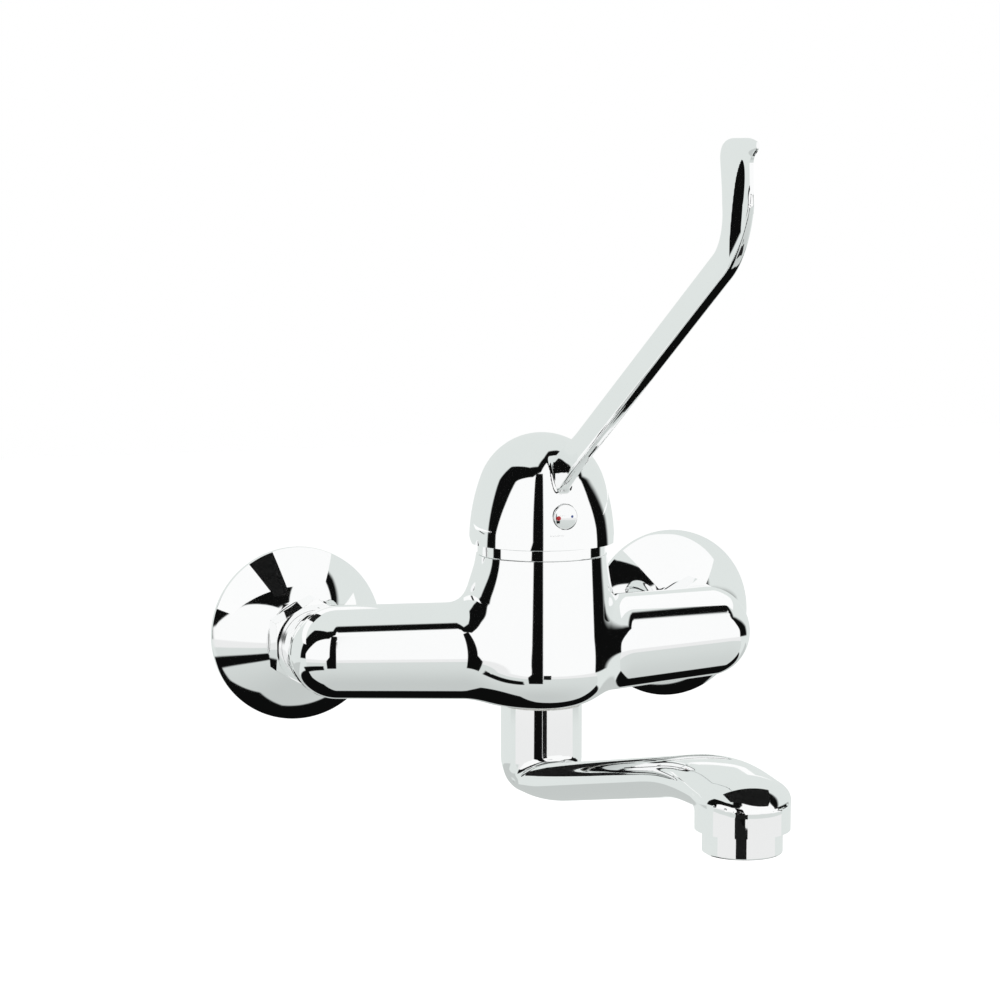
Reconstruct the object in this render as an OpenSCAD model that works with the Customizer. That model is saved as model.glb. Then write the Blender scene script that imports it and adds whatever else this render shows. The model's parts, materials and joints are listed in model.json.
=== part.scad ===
// Wall mixer tap with a long elbow lever and a swivel spout.
// The wall is the plane Y = 0, the tap stands out towards -Y and +Z is up.
// The origin lies in the wall plane, midway between the two inlet axes.

/* [Wall inlets] */
// Distance between the hot and the cold inlet axis
inlet_pitch = 150; // [130:1:170]
// Radius of the tail that screws into the wall fitting
tail_r = 10.48; // [9.5:0.01:12]
// Length of the tail inside the wall
tail_depth = 16; // [10:1:25]
// Radius of the threaded front of a wall union
union_r = 13.2; // [12.4:0.1:13.6]
// Radius of the waterway through a wall union
inlet_bore_r = 7.5; // [5:0.1:8.5]
// Radius of a wall rose at its rim
rose_r = 32.5; // [26:0.5:40]
// How far a wall rose stands out from the wall
rose_depth = 19; // [15:0.5:21]
// Radius of a wall rose at its nose
rose_nose_r = 15.6; // [14.6:0.1:18]
// Radius of the arc that swells the side of a rose
rose_swell_r = 62; // [32:1:90]
// Wall thickness of a rose
rose_wall = 1.5; // [1:0.1:2.5]
// Height of the rim of a rose
rose_rim_h = 2.2; // [1:0.1:3]
// Distance across the flats of a union nut
nut_flats = 30; // [29:0.5:34]

/* [Body] */
// Distance from the wall to the barrel axis
barrel_reach = 64.5; // [62:0.5:90]
// Radius of the barrel at its top
barrel_top_r = 23.6; // [23.5:0.1:27]
// Radius of the barrel at the level of the arms
barrel_low_r = 25.4; // [24.3:0.1:28]
// How far the barrel's shoulders stand out towards the arms
shoulder = 3.4; // [0.5:0.1:5]
// Height of the barrel's top above the inlet axes
barrel_top = 35.2; // [34:0.1:38]
// Depth of the barrel's underside below the inlet axes
barrel_drop = 19; // [18.4:0.1:24]
// Radius that rounds the barrel into its underside
barrel_round = 14; // [12:0.5:17]
// Distance from the wall to the centre of an elbow
elbow_reach = 46; // [44:0.5:54]
// How far the centre of an elbow lies inside its inlet axis
elbow_inset = 3.4; // [2:0.1:3.4]
// Radius of an elbow and of the arm's outer end
elbow_r = 16.8; // [16.8:0.1:18]
// Radius of the short leg from an elbow to its union nut
leg_r = 13.2; // [11.6:0.1:13.2]
// Radius of an arm where it meets the barrel
arm_root_r = 18; // [16:0.1:19]
// Radius of the waterway inside an arm
arm_bore_r = 5; // [3:0.1:5.5]

/* [Cartridge] */
// Radius of the ceramic cartridge
cartridge_r = 20; // [18:0.1:20.3]
// Height of the chamber floor above the inlet axes
chamber_floor = 9; // [8.5:0.1:10]
// Height of the lever's tilt axis above the inlet axes
pivot_z = 42; // [41.4:0.1:43]
// Largest lift of the lever from its closed place
lift_max = 20; // [10:1:22]
// Radius of the pin that the spindle tilts on
pivot_pin_r = 1.5; // [1:0.1:2]
// Width of the square spindle
spindle_w = 8; // [6:0.1:8.6]

/* [Lever] */
// Radius of the dome at its lower edge
dome_r = 26.1; // [25.6:0.1:29]
// Height of the dome's top above the inlet axes
dome_top = 78.9; // [74:0.5:90]
// Radius of the arc that shapes the dome's side
dome_side_r = 70; // [50:1:110]
// Distance from the barrel axis to the paddle's centre
lever_reach = 175; // [110:0.5:200]
// Height where the arm's centre line meets the barrel axis
arm_start_z = 54.4; // [50:0.1:58]
// Slope of the arm above the horizontal
arm_slope = 28.7; // [15:0.1:40]
// Bend radius between the arm and the paddle
bend_r = 22; // [12:1:30]
// Height of the paddle's top above the inlet axes
lever_top = 183; // [180:1:215]
// Thickness of the arm and paddle from side to side
lever_t = 4.4; // [3.6:0.1:8]
// Height of the arm near the dome
arm_h = 10.8; // [8:0.1:14]
// How far the paddle reaches in front of its centre line
paddle_front = 11.5; // [7:0.1:15]
// How far the paddle reaches behind its centre line
paddle_back = 7.8; // [6:0.1:11]
// How much farther back the paddle swells at its tip
paddle_swell = 2.6; // [0:0.1:5]
// How far the lip at the tip stands forward
lip_d = 5; // [0:0.5:9]
// Height of the index plug above the inlet axes
plug_z = 51.4; // [51.3:0.1:54]
// Radius of the index plug
plug_r = 4.4; // [3.6:0.1:5.4]

/* [Spout] */
// Distance from the barrel axis to the outlet's centre
spout_reach = 184; // [120:1:240]
// Radius of the upright neck
neck_r = 14.7; // [13.4:0.1:16]
// Depth of the centre of the rounded neck foot below the inlet axes
neck_foot = 39; // [34:0.5:48]
// Width of the run midway
run_w = 24; // [18:0.5:30]
// Height of the run at the neck
run_h_neck = 14; // [11:0.1:18]
// Height of the run at the outlet
run_h_outlet = 13.4; // [10:0.1:16]
// Rise of the run from the neck to the outlet
run_rise = 34.6; // [24:0.1:36]
// Radius of the outlet block
outlet_r = 14.7; // [13.6:0.1:17]
// Depth of the outlet block's lower edge below the inlet axes
outlet_drop = 24.3; // [22:0.1:30]
// Radius of the aerator
aerator_r = 12.25; // [12.05:0.05:13]
// Length of the aerator below the outlet block
aerator_h = 7.1; // [5:0.1:12]

/* [Hidden] */
$fn = 96;

// Clearances: a thread or socket, a running fit, and two bodies that pass each other
thread_gap = 0.05;
run_gap = 0.05;
body_gap = 0.3;
// Overlap that keeps cuts and joined solids from ending on the same face
eps = 0.5;

// Stack along an inlet axis, measured out from the wall
washer_t = 2;
flange_t = 2.5;
nut_wall = 1.8;
thread_show = 6;
rose_gap = 0.6;
nut_gap = 0.2;
socket_depth = 7;
union_end = rose_depth + thread_show;
flange_back = union_end + washer_t;
nut_back = rose_depth + rose_gap;
nut_front = flange_back + flange_t + nut_wall;
elbow_face = nut_front + nut_gap;
tailpiece_r = 10.6;
tailpiece_end = elbow_face + socket_depth;
flange_r = union_r - 0.6;
nut_chamfer = 1.4;

// Arm axis, from the elbow centre to the barrel axis
elbow_x = inlet_pitch / 2 - elbow_inset;
arm_angle = atan2(barrel_reach - elbow_reach, elbow_x);
arm_len = norm([elbow_x, barrel_reach - elbow_reach]);
port_x = 13.5;
port_back = port_x * tan(arm_angle);
port_r = 4;
outlet_port_r = 5.5;

// Cartridge levels
base_t = 3;
disc_t = 3.5;
carrier_t = 4.5;
fixed_z = chamber_floor + base_t;
moving_z = fixed_z + disc_t + run_gap;
carrier_z = moving_z + disc_t;
rotor_z = carrier_z + carrier_t + body_gap;
rotor_flange_t = 3.4;
shoulder_z = rotor_z + rotor_flange_t + 2 * run_gap;
housing_top = shoulder_z + 2.6;
neck_top = housing_top + 7;
housing_bore_r = cartridge_r - 2.5;
housing_neck_r = 15;
rotor_neck_r = 12;
rotor_flange_r = housing_bore_r - 1;
rotor_top = pivot_z + 3.5;
disc_r = housing_bore_r - 5;
tail_ball_r = 2.5;
tail_ball_z = carrier_z + 0.5 + tail_ball_r;
tail_len = pivot_z - tail_ball_z;
disc_travel = tail_len * sin(lift_max);

// Clamp nut and cover ring
clamp_r = cartridge_r + 1.5;
clamp_thread_h = 3.4;
clamp_hex_h = 3.6;
clamp_flats = 33;
ring_h = 4.1;
ring_r = barrel_top_r - 0.5;
ring_top = barrel_top + ring_h;
ring_spigot_r = clamp_r + 0.9;
ring_spigot_h = 1.5;
cap_r = 22.8;
cap_wall = 1.2;
cap_top = pivot_z + 6.5;

// Dome of the lever
dome_base = ring_top + body_gap;
dome_k = dome_top - dome_side_r;
dome_crown_z = (pow(dome_side_r - dome_r, 2) + pow(dome_base, 2) - pow(dome_k, 2))
  / (2 * (dome_base - dome_k));
dome_crown_r = dome_top - dome_crown_z;
dome_join = atan2(dome_crown_z - dome_base, dome_side_r - dome_r);
cavity_r = cap_r + 0.4;
boss_r = 7.5;
boss_z = pivot_z + 7;
socket_w = spindle_w + 2 * run_gap;
spindle_rise = 20;
spindle_top = pivot_z + spindle_rise;
plug_seat = sqrt(pow(cavity_r, 2) - pow(plug_z - pivot_z, 2)) + 1.4;
plug_front = dome_r + 0.2;
plug_swell_r = 11;
screw_r = 2;
screw_l = 5.6;

// Lever path in the plane X = 0: the arm, the bend and the upright paddle
bend_turn = 90 - arm_slope;
bend_tangent = bend_r * tan(bend_turn / 2);
corner_z = arm_start_z + lever_reach * tan(arm_slope);
arm_first = 14;
arm_last = lever_reach - bend_tangent * cos(arm_slope);
bend_end_z = corner_z + bend_tangent;
arm_steps = 12;
bend_steps = 10;
tip_steps = 16;
lever_sides = 24;
lever_power = 4.5;
arm_taper = 0.1;
bend_taper = 0.45;
tip_taper = 0.8;
taper_from = 0.3;
arm_h_bend = arm_h - 0.6;
root_flare = 1.6;
root_len = 16;
tip_round = 6.4;
tip_back = 9;
tip_edge = 2.5;

// Spout
spigot_r = 11;
socket_top = 6;
spigot_top = socket_top + 0.4;
glide_t = 0.6;
spout_top = barrel_drop + run_gap + glide_t;
neck_bore_r = 7.5;
run_bore_r = 3.4;
o_ring_r = 1.2;
o_ring_drops = [spigot_top + 2.4, spigot_top + 5.4];
lock_drop = spigot_top + 9.6;
lock_screw_r = 2;
lock_groove_w = 2 * lock_screw_r + 0.6;
lock_groove_d = 1.6;
barrel_round_z = -barrel_drop
  + sqrt(pow(barrel_round, 2) - pow(neck_r + 0.2 - (barrel_low_r - barrel_round), 2));
barrel_sides = 80;
barrel_steps = 14;
round_steps = 10;
run_sides = 28;
run_steps = 36;
run_power = 2.7;
run_blend = 1.4;
run_sag = 10.2;
outlet_flat = 32;
run_z = -(neck_foot + run_sag);
run_knee = spout_reach - outlet_flat;
nose_fall = 0.065;
outlet_top = outlet_drop - 8.5;
aerator_thread_r = aerator_r - 0.3;
aerator_thread_h = 7;
aerator_washer_t = 1.5;
aerator_bore_r = aerator_r - 2.5;
aerator_lip = 0.8;
outlet_seat = outlet_drop - aerator_thread_h - aerator_washer_t;

// Places and shared shapes

// Local +Z points out of the wall along one inlet axis
module on_inlet(side) {
  translate([side * inlet_pitch / 2, 0, 0]) rotate([90, 0, 0]) children();
}

// Local +Z is the barrel axis
module on_barrel() {
  translate([0, -barrel_reach, 0]) children();
}

// Local +Z is the outlet axis
module on_outlet() {
  translate([0, -barrel_reach - spout_reach, 0]) children();
}

// Local +Z points forward from the barrel axis at the given height
module forward(z) {
  translate([0, -barrel_reach, z]) rotate([90, 0, 0]) children();
}

// Local +Z runs from the elbow centre along the arm to the barrel axis
module on_arm(side) {
  translate([side * elbow_x, -elbow_reach, 0])
    rotate([0, 0, -side * (90 - arm_angle)])
      rotate([90, 0, 0])
        children();
}

// Half outline of a cylinder from z0 to z1 that goes on in a half sphere
module round_ended(r, z0, z1) {
  difference() {
    translate([0, z0]) square([r, z1 + r - z0]);
    translate([0, z1])
      difference() {
        square(r + eps);
        circle(r = r, $fn = 180);
      }
  }
}

// Ring of rectangular section from z0 up
module ring(inner, outer, z0, h) {
  translate([0, 0, z0])
    difference() {
      cylinder(r = outer, h = h);
      translate([0, 0, -eps]) cylinder(r = inner, h = h + 2 * eps);
    }
}

// Ring of round section at height z
module o_ring(middle_r, wire_r, z) {
  translate([0, 0, z]) rotate_extrude() translate([middle_r, 0]) circle(r = wire_r, $fn = 32);
}

// Solid skin through closed rings of points, each ring with the same number of points
module loft(rings) {
  n = len(rings[0]);
  last = (len(rings) - 1) * n;
  skin = [
    for (i = [0 : len(rings) - 2], j = [0 : n - 1])
      let (a = i * n + j, b = i * n + (j + 1) % n)
        each [[a, b + n, b], [a, a + n, b + n]]
  ];
  first_cap = [for (j = [1 : n - 2]) [0, j, j + 1]];
  last_cap = [for (j = [1 : n - 2]) [last, last + j + 1, last + j]];
  polyhedron(points = [for (r = rings) each r], faces = concat(skin, first_cap, last_cap));
}

// Superellipse coordinate: the sign and power of a cosine or a sine
function squarish(v, power) = sign(v) * pow(abs(v), 2 / power);

// Smooth step from 0 to 1 as x goes from a to b
function ease(x, a, b) = let (t = max(0, min(1, (x - a) / (b - a)))) t * t * (3 - 2 * t);

// Smooth minimum of two lines, blended over about k
function smooth_min(a, b, k) = -k * ln(exp(-a / k) + exp(-b / k));

// Wall side

module wall_union(side) {
  color("goldenrod") on_inlet(side)
    difference() {
      union() {
        translate([0, 0, -tail_depth]) cylinder(r = tail_r, h = tail_depth + rose_rim_h);
        translate([0, 0, rose_rim_h]) cylinder(r = union_r, h = union_end - rose_rim_h);
      }
      translate([0, 0, -tail_depth - eps]) cylinder(r = inlet_bore_r, h = union_end + tail_depth + 2 * eps);
    }
}

// Centre of the arc through the rim's edge and the nose
function rose_arc() = let (
    rim = [rose_r, rose_rim_h],
    nose = [rose_nose_r, rose_depth],
    chord = nose - rim,
    out = [chord[1], -chord[0]] / norm(chord)
  ) (rim + nose) / 2 - out * sqrt(pow(rose_swell_r, 2) - pow(norm(chord) / 2, 2));

module rose_outline(inset) {
  intersection() {
    translate(rose_arc()) circle(r = rose_swell_r - inset, $fn = 180);
    square([rose_r - inset, rose_depth - inset]);
  }
}

module wall_rose(side) {
  color("silver") on_inlet(side)
    difference() {
      rotate_extrude() rose_outline(0);
      translate([0, 0, -eps]) rotate_extrude() translate([0, eps]) rose_outline(rose_wall);
      translate([0, 0, -eps]) cylinder(r = rose_r - rose_wall, h = 2 * eps);
      cylinder(r = union_r + thread_gap, h = rose_depth + eps);
    }
}

module union_washer(side) {
  color("dimgray") on_inlet(side) ring(inlet_bore_r + 0.3, union_r - 0.8, union_end, washer_t);
}

module tailpiece(side) {
  color("goldenrod") on_inlet(side)
    difference() {
      union() {
        translate([0, 0, flange_back]) cylinder(r = flange_r, h = flange_t);
        translate([0, 0, flange_back]) cylinder(r = tailpiece_r, h = tailpiece_end - flange_back);
      }
      translate([0, 0, flange_back - eps])
        cylinder(r = inlet_bore_r, h = tailpiece_end - flange_back + 2 * eps);
    }
}

module union_nut(side) {
  nut_h = nut_front - nut_back;
  corner_r = nut_flats / 2 / cos(30);
  color("silver") on_inlet(side)
    difference() {
      intersection() {
        translate([0, 0, nut_back]) rotate([0, 0, 30]) cylinder(r = corner_r, h = nut_h, $fn = 6);
        rotate_extrude()
          polygon([
            [0, nut_back],
            [nut_flats / 2 + 0.2, nut_back],
            [corner_r + 0.2, nut_back + nut_chamfer],
            [corner_r + 0.2, nut_front - nut_chamfer],
            [nut_flats / 2 + 0.2, nut_front],
            [0, nut_front]
          ]);
      }
      translate([0, 0, nut_back - eps])
        cylinder(r = union_r + thread_gap, h = nut_h - nut_wall + eps);
      translate([0, 0, nut_back - eps]) cylinder(r = tailpiece_r + thread_gap, h = nut_h + 2 * eps);
    }
}

// Body

// Radius of the barrel at a height: nearly straight above, rounded into its underside
function barrel_r(z) = z > barrel_round_z
  ? barrel_low_r + (barrel_top_r - barrel_low_r) * (z - barrel_round_z) / (barrel_top - barrel_round_z)
  : barrel_low_r - barrel_round + sqrt(max(0, pow(barrel_round, 2) - pow(z - barrel_round_z, 2)));

// The barrel swells towards each arm: the shoulder grows from the top down and fades under the arms
function shoulder_out(z) = shoulder * ease(z, barrel_top + 1, arm_root_r) * ease(z, -barrel_drop, 0);

function barrel_ring(z) = [
  for (j = [0 : barrel_sides - 1])
    let (
      a = 360 * j / barrel_sides,
      side = pow(max(0, cos(a - arm_angle)), 6) + pow(max(0, cos(a - 180 + arm_angle)), 6),
      r = barrel_r(z) + shoulder_out(z) * side
    ) [r * cos(a), r * sin(a), z]
];

module barrel() {
  loft([
    for (i = [0 : round_steps - 1])
      barrel_ring(barrel_round_z - (barrel_round_z + barrel_drop) * cos(90 * i / round_steps)),
    for (i = [0 : barrel_steps])
      barrel_ring(barrel_round_z + (barrel_top - barrel_round_z) * i / barrel_steps)
  ]);
}

// Half outline of an arm: round at the elbow, widening to the barrel
module arm_outline() {
  difference() {
    polygon([
      [0, -elbow_r],
      [elbow_r, -elbow_r],
      [elbow_r, 0],
      [arm_root_r, arm_len],
      [0, arm_len]
    ]);
    mirror([0, 1])
      difference() {
        square(elbow_r + eps);
        circle(r = elbow_r, $fn = 180);
      }
  }
}

// The arm and its leg end flat against the union nut
module arm(side) {
  difference() {
    union() {
      on_arm(side) rotate_extrude() arm_outline();
      on_inlet(side) translate([0, 0, elbow_face - eps]) cylinder(r = leg_r, h = elbow_reach - elbow_face);
    }
    translate([-inlet_pitch, -elbow_face, -2 * elbow_r]) cube([2 * inlet_pitch, elbow_face, 4 * elbow_r]);
  }
}

module arm_waterway(side) {
  on_inlet(side) translate([0, 0, elbow_face - eps])
    cylinder(r = tailpiece_r + thread_gap, h = tailpiece_end - elbow_face + eps);
  on_inlet(side) translate([0, 0, tailpiece_end - eps])
    cylinder(r = inlet_bore_r, h = elbow_reach - tailpiece_end + eps);
  on_arm(side) translate([0, 0, -elbow_inset])
    cylinder(r = arm_bore_r, h = arm_len + elbow_inset - port_x / cos(arm_angle));
  on_barrel() translate([side * port_x, port_back, 0]) cylinder(r = port_r, h = chamber_floor + eps);
}

module body_casting() {
  color("silver")
    difference() {
      union() {
        on_barrel() barrel();
        for (side = [-1, 1]) arm(side);
      }
      for (side = [-1, 1]) arm_waterway(side);
      on_barrel() {
        translate([0, 0, chamber_floor]) cylinder(r = cartridge_r + thread_gap, h = barrel_top);
        translate([0, 0, housing_top]) cylinder(r = clamp_r + thread_gap, h = barrel_top);
        translate([0, 0, barrel_top - ring_spigot_h])
          cylinder(r = ring_spigot_r + thread_gap, h = barrel_top);
        translate([0, 0, -socket_top - eps])
          cylinder(r = outlet_port_r, h = socket_top + chamber_floor + 2 * eps);
        translate([0, 0, -barrel_drop - eps])
          cylinder(r = spigot_r + run_gap, h = barrel_drop - socket_top + eps);
      }
      forward(-lock_drop) mirror([0, 0, 1]) cylinder(r = lock_screw_r + thread_gap, h = barrel_low_r);
    }
}

module spout_lock_screw() {
  reach = sqrt(pow(barrel_round, 2) - pow(-lock_drop - barrel_round_z, 2)) + barrel_low_r - barrel_round;
  tip = spigot_r - lock_groove_d + body_gap;
  color("dimgray")
    forward(-lock_drop) mirror([0, 0, 1])
      difference() {
        translate([0, 0, tip]) cylinder(r = lock_screw_r, h = reach - 1 - tip);
        translate([0, 0, reach - 3]) cylinder(r = lock_screw_r / 2, h = 3, $fn = 6);
      }
}

// Cartridge

module at_ports() {
  for (side = [-1, 1]) translate([side * port_x, port_back, 0]) children();
}

seal_r = 0.75;
inlet_seal_r = port_r + seal_r + 0.15;
outlet_seal_r = outlet_port_r + seal_r + 0.25;

module cartridge_base() {
  groove_h = 2 * seal_r;
  color("whitesmoke") on_barrel()
    difference() {
      translate([0, 0, chamber_floor]) cylinder(r = cartridge_r, h = base_t);
      translate([0, 0, chamber_floor - eps]) {
        at_ports() cylinder(r = port_r, h = base_t + 2 * eps);
        cylinder(r = outlet_port_r, h = base_t + 2 * eps);
        at_ports() ring(inlet_seal_r - seal_r, inlet_seal_r + seal_r, 0, groove_h + eps);
        ring(outlet_seal_r - seal_r, outlet_seal_r + seal_r, 0, groove_h + eps);
      }
    }
}

module cartridge_seals() {
  color("dimgray") on_barrel() {
    at_ports() o_ring(inlet_seal_r, seal_r, chamber_floor + seal_r);
    o_ring(outlet_seal_r, seal_r, chamber_floor + seal_r);
  }
}

module fixed_disc() {
  color("white") on_barrel()
    difference() {
      translate([0, 0, fixed_z]) cylinder(r = housing_bore_r - run_gap, h = disc_t);
      translate([0, 0, fixed_z - eps]) {
        intersection() {
          at_ports() cylinder(r = port_r, h = disc_t + 2 * eps);
          cylinder(r = housing_bore_r - 1, h = disc_t + 2 * eps);
        }
        cylinder(r = outlet_port_r, h = disc_t + 2 * eps);
      }
    }
}

module cartridge_housing() {
  color("whitesmoke") on_barrel()
    difference() {
      union() {
        translate([0, 0, fixed_z]) cylinder(r = cartridge_r, h = housing_top - fixed_z);
        translate([0, 0, fixed_z]) cylinder(r = housing_neck_r, h = neck_top - fixed_z);
      }
      translate([0, 0, fixed_z - eps]) cylinder(r = housing_bore_r, h = shoulder_z - fixed_z + eps);
      translate([0, 0, fixed_z - eps]) cylinder(r = rotor_neck_r + run_gap, h = neck_top);
    }
}

module clamp_nut() {
  color("goldenrod") on_barrel()
    difference() {
      union() {
        translate([0, 0, housing_top]) cylinder(r = clamp_r, h = clamp_thread_h);
        translate([0, 0, housing_top])
          cylinder(r = clamp_flats / 2 / cos(30), h = clamp_thread_h + clamp_hex_h, $fn = 6);
      }
      translate([0, 0, housing_top - eps])
        cylinder(r = housing_neck_r + thread_gap, h = clamp_thread_h + clamp_hex_h + 2 * eps);
    }
}

module cover_ring() {
  inner_r = cap_r - cap_wall;
  color("silver") on_barrel()
    rotate_extrude() {
      translate([inner_r, barrel_top]) square([ring_r - inner_r, ring_h]);
      translate([inner_r - 0.2, barrel_top - ring_spigot_h])
        square([ring_spigot_r - inner_r + 0.2, ring_spigot_h + eps]);
      intersection() {
        translate([0, pivot_z])
          difference() {
            circle(r = cap_r, $fn = 180);
            circle(r = inner_r, $fn = 180);
          }
        translate([inner_r / 2, ring_top - eps]) square([cap_r, cap_top - ring_top + eps]);
      }
    }
}

module cartridge_rotor() {
  slot_w = spindle_w + 0.3;
  top_half = spindle_w / 2 / cos(lift_max) + (rotor_top - pivot_z) * tan(lift_max) + body_gap;
  tail_half = tail_ball_r + 0.6;
  tail_swing = (pivot_z - rotor_z) * tan(lift_max) + tail_half + 0.2;
  color("whitesmoke") on_barrel()
    difference() {
      union() {
        translate([0, 0, rotor_z]) cylinder(r = rotor_flange_r, h = rotor_flange_t);
        translate([0, 0, rotor_z]) cylinder(r = rotor_neck_r, h = rotor_top - rotor_z);
      }
      rotate([90, 0, 90])
        translate([0, 0, -slot_w / 2])
          linear_extrude(slot_w)
            polygon([
              [-top_half, rotor_top + eps],
              [-top_half, pivot_z - 5],
              [-tail_swing, rotor_z - eps],
              [tail_half, rotor_z - eps],
              [tail_half, pivot_z - 8],
              [top_half, pivot_z - 5],
              [top_half, rotor_top + eps]
            ]);
      translate([0, 0, pivot_z]) rotate([0, 90, 0])
        cylinder(r = pivot_pin_r + thread_gap, h = 3 * rotor_neck_r, center = true, $fn = 48);
    }
}

module pivot_pin() {
  color("gainsboro") on_barrel() translate([0, 0, pivot_z]) rotate([0, 90, 0])
    cylinder(r = pivot_pin_r, h = 2 * rotor_neck_r - 2, center = true, $fn = 48);
}

// The moving disc lies behind the axis when the tap is closed and as far in front when it is open
module moving_disc() {
  color("white") on_barrel() translate([0, disc_travel / 2, moving_z])
    difference() {
      cylinder(r = disc_r, h = disc_t);
      translate([0, 0, -eps]) cylinder(r = disc_r - 3.5, h = 1.5 + eps);
    }
}

module disc_carrier() {
  color("whitesmoke") on_barrel()
    difference() {
      translate([0, disc_travel / 2, carrier_z]) cylinder(r = disc_r, h = carrier_t);
      translate([0, 0, carrier_z + 0.3]) cylinder(r = tail_ball_r + 0.3, h = carrier_t);
    }
}

// Lever

module spindle() {
  color("goldenrod") on_barrel()
    difference() {
      union() {
        translate([-spindle_w / 2, -spindle_w / 2, pivot_z - 4])
          cube([spindle_w, spindle_w, spindle_top - pivot_z + 4]);
        translate([0, 0, tail_ball_z]) cylinder(r = tail_ball_r, h = tail_len);
        translate([0, 0, tail_ball_z]) sphere(r = tail_ball_r);
      }
      translate([0, 0, pivot_z]) rotate([0, 90, 0])
        cylinder(r = pivot_pin_r + run_gap, h = 2 * spindle_w, center = true, $fn = 48);
    }
}

// Dome outline: a flat side arc that runs on into a rounder crown
module dome_outline() {
  join_z = dome_crown_z + dome_crown_r * sin(dome_join);
  intersection() {
    translate([dome_r - dome_side_r, dome_base]) circle(r = dome_side_r, $fn = 360);
    translate([0, dome_base]) square([dome_r, join_z - dome_base]);
  }
  intersection() {
    translate([0, dome_crown_z]) circle(r = dome_crown_r, $fn = 180);
    translate([0, join_z]) square(dome_crown_r);
  }
}

// Station of the lever: reach, height, direction, half depth behind, half depth in front, half thickness
// and how much the section thins towards its front edge
function arm_station(i) = let (
    reach = arm_first + (arm_last - arm_first) * i / arm_steps,
    root = 1 - ease(reach, dome_r - 6, dome_r + root_len),
    depth = arm_h + (arm_h_bend - arm_h) * i / arm_steps + root_flare * root
  ) [reach, arm_start_z + reach * tan(arm_slope), arm_slope,
     depth / 2, depth / 2, (lever_t + root_flare * root) / 2, arm_taper];

function bend_station(i) = let (
    angle = arm_slope + bend_turn * i / bend_steps,
    half = arm_h_bend / 2,
    share = pow(i / bend_steps, 1.5)
  ) [lever_reach - bend_r * (1 - sin(angle)), bend_end_z - bend_r * cos(angle), angle,
     half + (paddle_back - half) * share, half + (paddle_front - half) * share, lever_t / 2,
     arm_taper + (bend_taper - arm_taper) * share];

function tip_station(i) = let (
    share = i / tip_steps,
    left = (lever_top - bend_end_z) * pow(1 - share, 1.6),
    z = lever_top - left,
    over_back = max(0, tip_round - left),
    over_edge = max(0, tip_edge - left),
    swell = paddle_swell * (1 - ease(left, 0, lever_top - bend_end_z)),
    back = paddle_back + swell - tip_back * (1 - sqrt(max(0, 1 - pow(over_back / tip_round, 2)))),
    lip = lip_d * exp(-pow((left - 2) / 2.6, 2)),
    edge = sqrt(max(0.01, 1 - pow(over_edge / tip_edge, 2)))
  ) [lever_reach, z, 90, back, (paddle_front + lip) * (0.55 + 0.45 * edge), lever_t / 2 * (0.3 + 0.7 * edge),
     bend_taper + (tip_taper - bend_taper) * share];

function lever_ring(st) = [
  for (j = [0 : lever_sides - 1])
    let (
      a = 360 * j / lever_sides,
      v = squarish(sin(a), lever_power),
      thin = 1 - st[6] * pow(max(0, (-v - taper_from) / (1 - taper_from)), 1.3),
      across = st[5] * squarish(cos(a), lever_power) * thin,
      along = v > 0 ? v * st[3] : v * st[4]
    )
    [across, -barrel_reach - st[0] + along * sin(st[2]), st[1] + along * cos(st[2])]
];

module lever_arm() {
  loft([
    for (i = [0 : arm_steps]) lever_ring(arm_station(i)),
    for (i = [1 : bend_steps]) lever_ring(bend_station(i)),
    for (i = [1 : tip_steps]) lever_ring(tip_station(i))
  ]);
}

module lever_handle() {
  color("silver")
    difference() {
      union() {
        difference() {
          union() {
            on_barrel() rotate_extrude() dome_outline();
            lever_arm();
          }
          on_barrel() translate([0, 0, pivot_z]) {
            sphere(r = cavity_r);
            // Skirt relief behind the tilt axis, level with the cover ring at full lift
            rotate([lift_max, 0, 0])
              translate([-2 * dome_r, -2 * dome_r, -3 * dome_r - (pivot_z - dome_base)])
                cube([4 * dome_r, 4 * dome_r, 3 * dome_r]);
          }
        }
        on_barrel() translate([0, 0, boss_z]) cylinder(r = boss_r, h = cavity_r + pivot_z - boss_z + eps);
      }
      on_barrel() translate([-socket_w / 2, -socket_w / 2, boss_z - eps])
        cube([socket_w, socket_w, spindle_top - boss_z + eps + run_gap]);
      forward(plug_z) {
        translate([0, 0, plug_seat]) cylinder(r = plug_r + thread_gap, h = dome_r);
        cylinder(r = screw_r + thread_gap, h = boss_r + eps);
        translate([0, 0, boss_r]) cylinder(r = screw_r + 0.6, h = dome_r);
      }
    }
}

module grub_screw() {
  start = socket_w / 2;
  color("dimgray") forward(plug_z)
    difference() {
      translate([0, 0, start]) cylinder(r = screw_r, h = screw_l);
      translate([0, 0, start + screw_l - 2.4]) cylinder(r = screw_r / 2, h = 3, $fn = 6);
    }
}

module index_plug() {
  color("ghostwhite") forward(plug_z)
    intersection() {
      translate([0, 0, plug_seat]) cylinder(r = plug_r, h = plug_front - plug_seat);
      translate([0, 0, plug_front - plug_swell_r]) sphere(r = plug_swell_r);
    }
}

// Spout

// Upper and lower edge of the run at a distance from the barrel axis
function run_mid(d) = run_z + run_rise * d / run_knee;
function run_h(d) = run_h_neck + (run_h_outlet - run_h_neck) * d / spout_reach;
function run_top(d) = smooth_min(
    run_mid(d) + run_h(d) / 2,
    run_z + run_rise + run_h_outlet / 2 + 2 - nose_fall * (d - run_knee),
    run_blend);
function run_bottom(d) = -smooth_min(
    -smooth_min(run_mid(d) - run_h(d) / 2, run_z + run_rise - run_h_outlet / 2, run_blend),
    neck_foot + neck_r - 0.4,
    run_blend);

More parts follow.
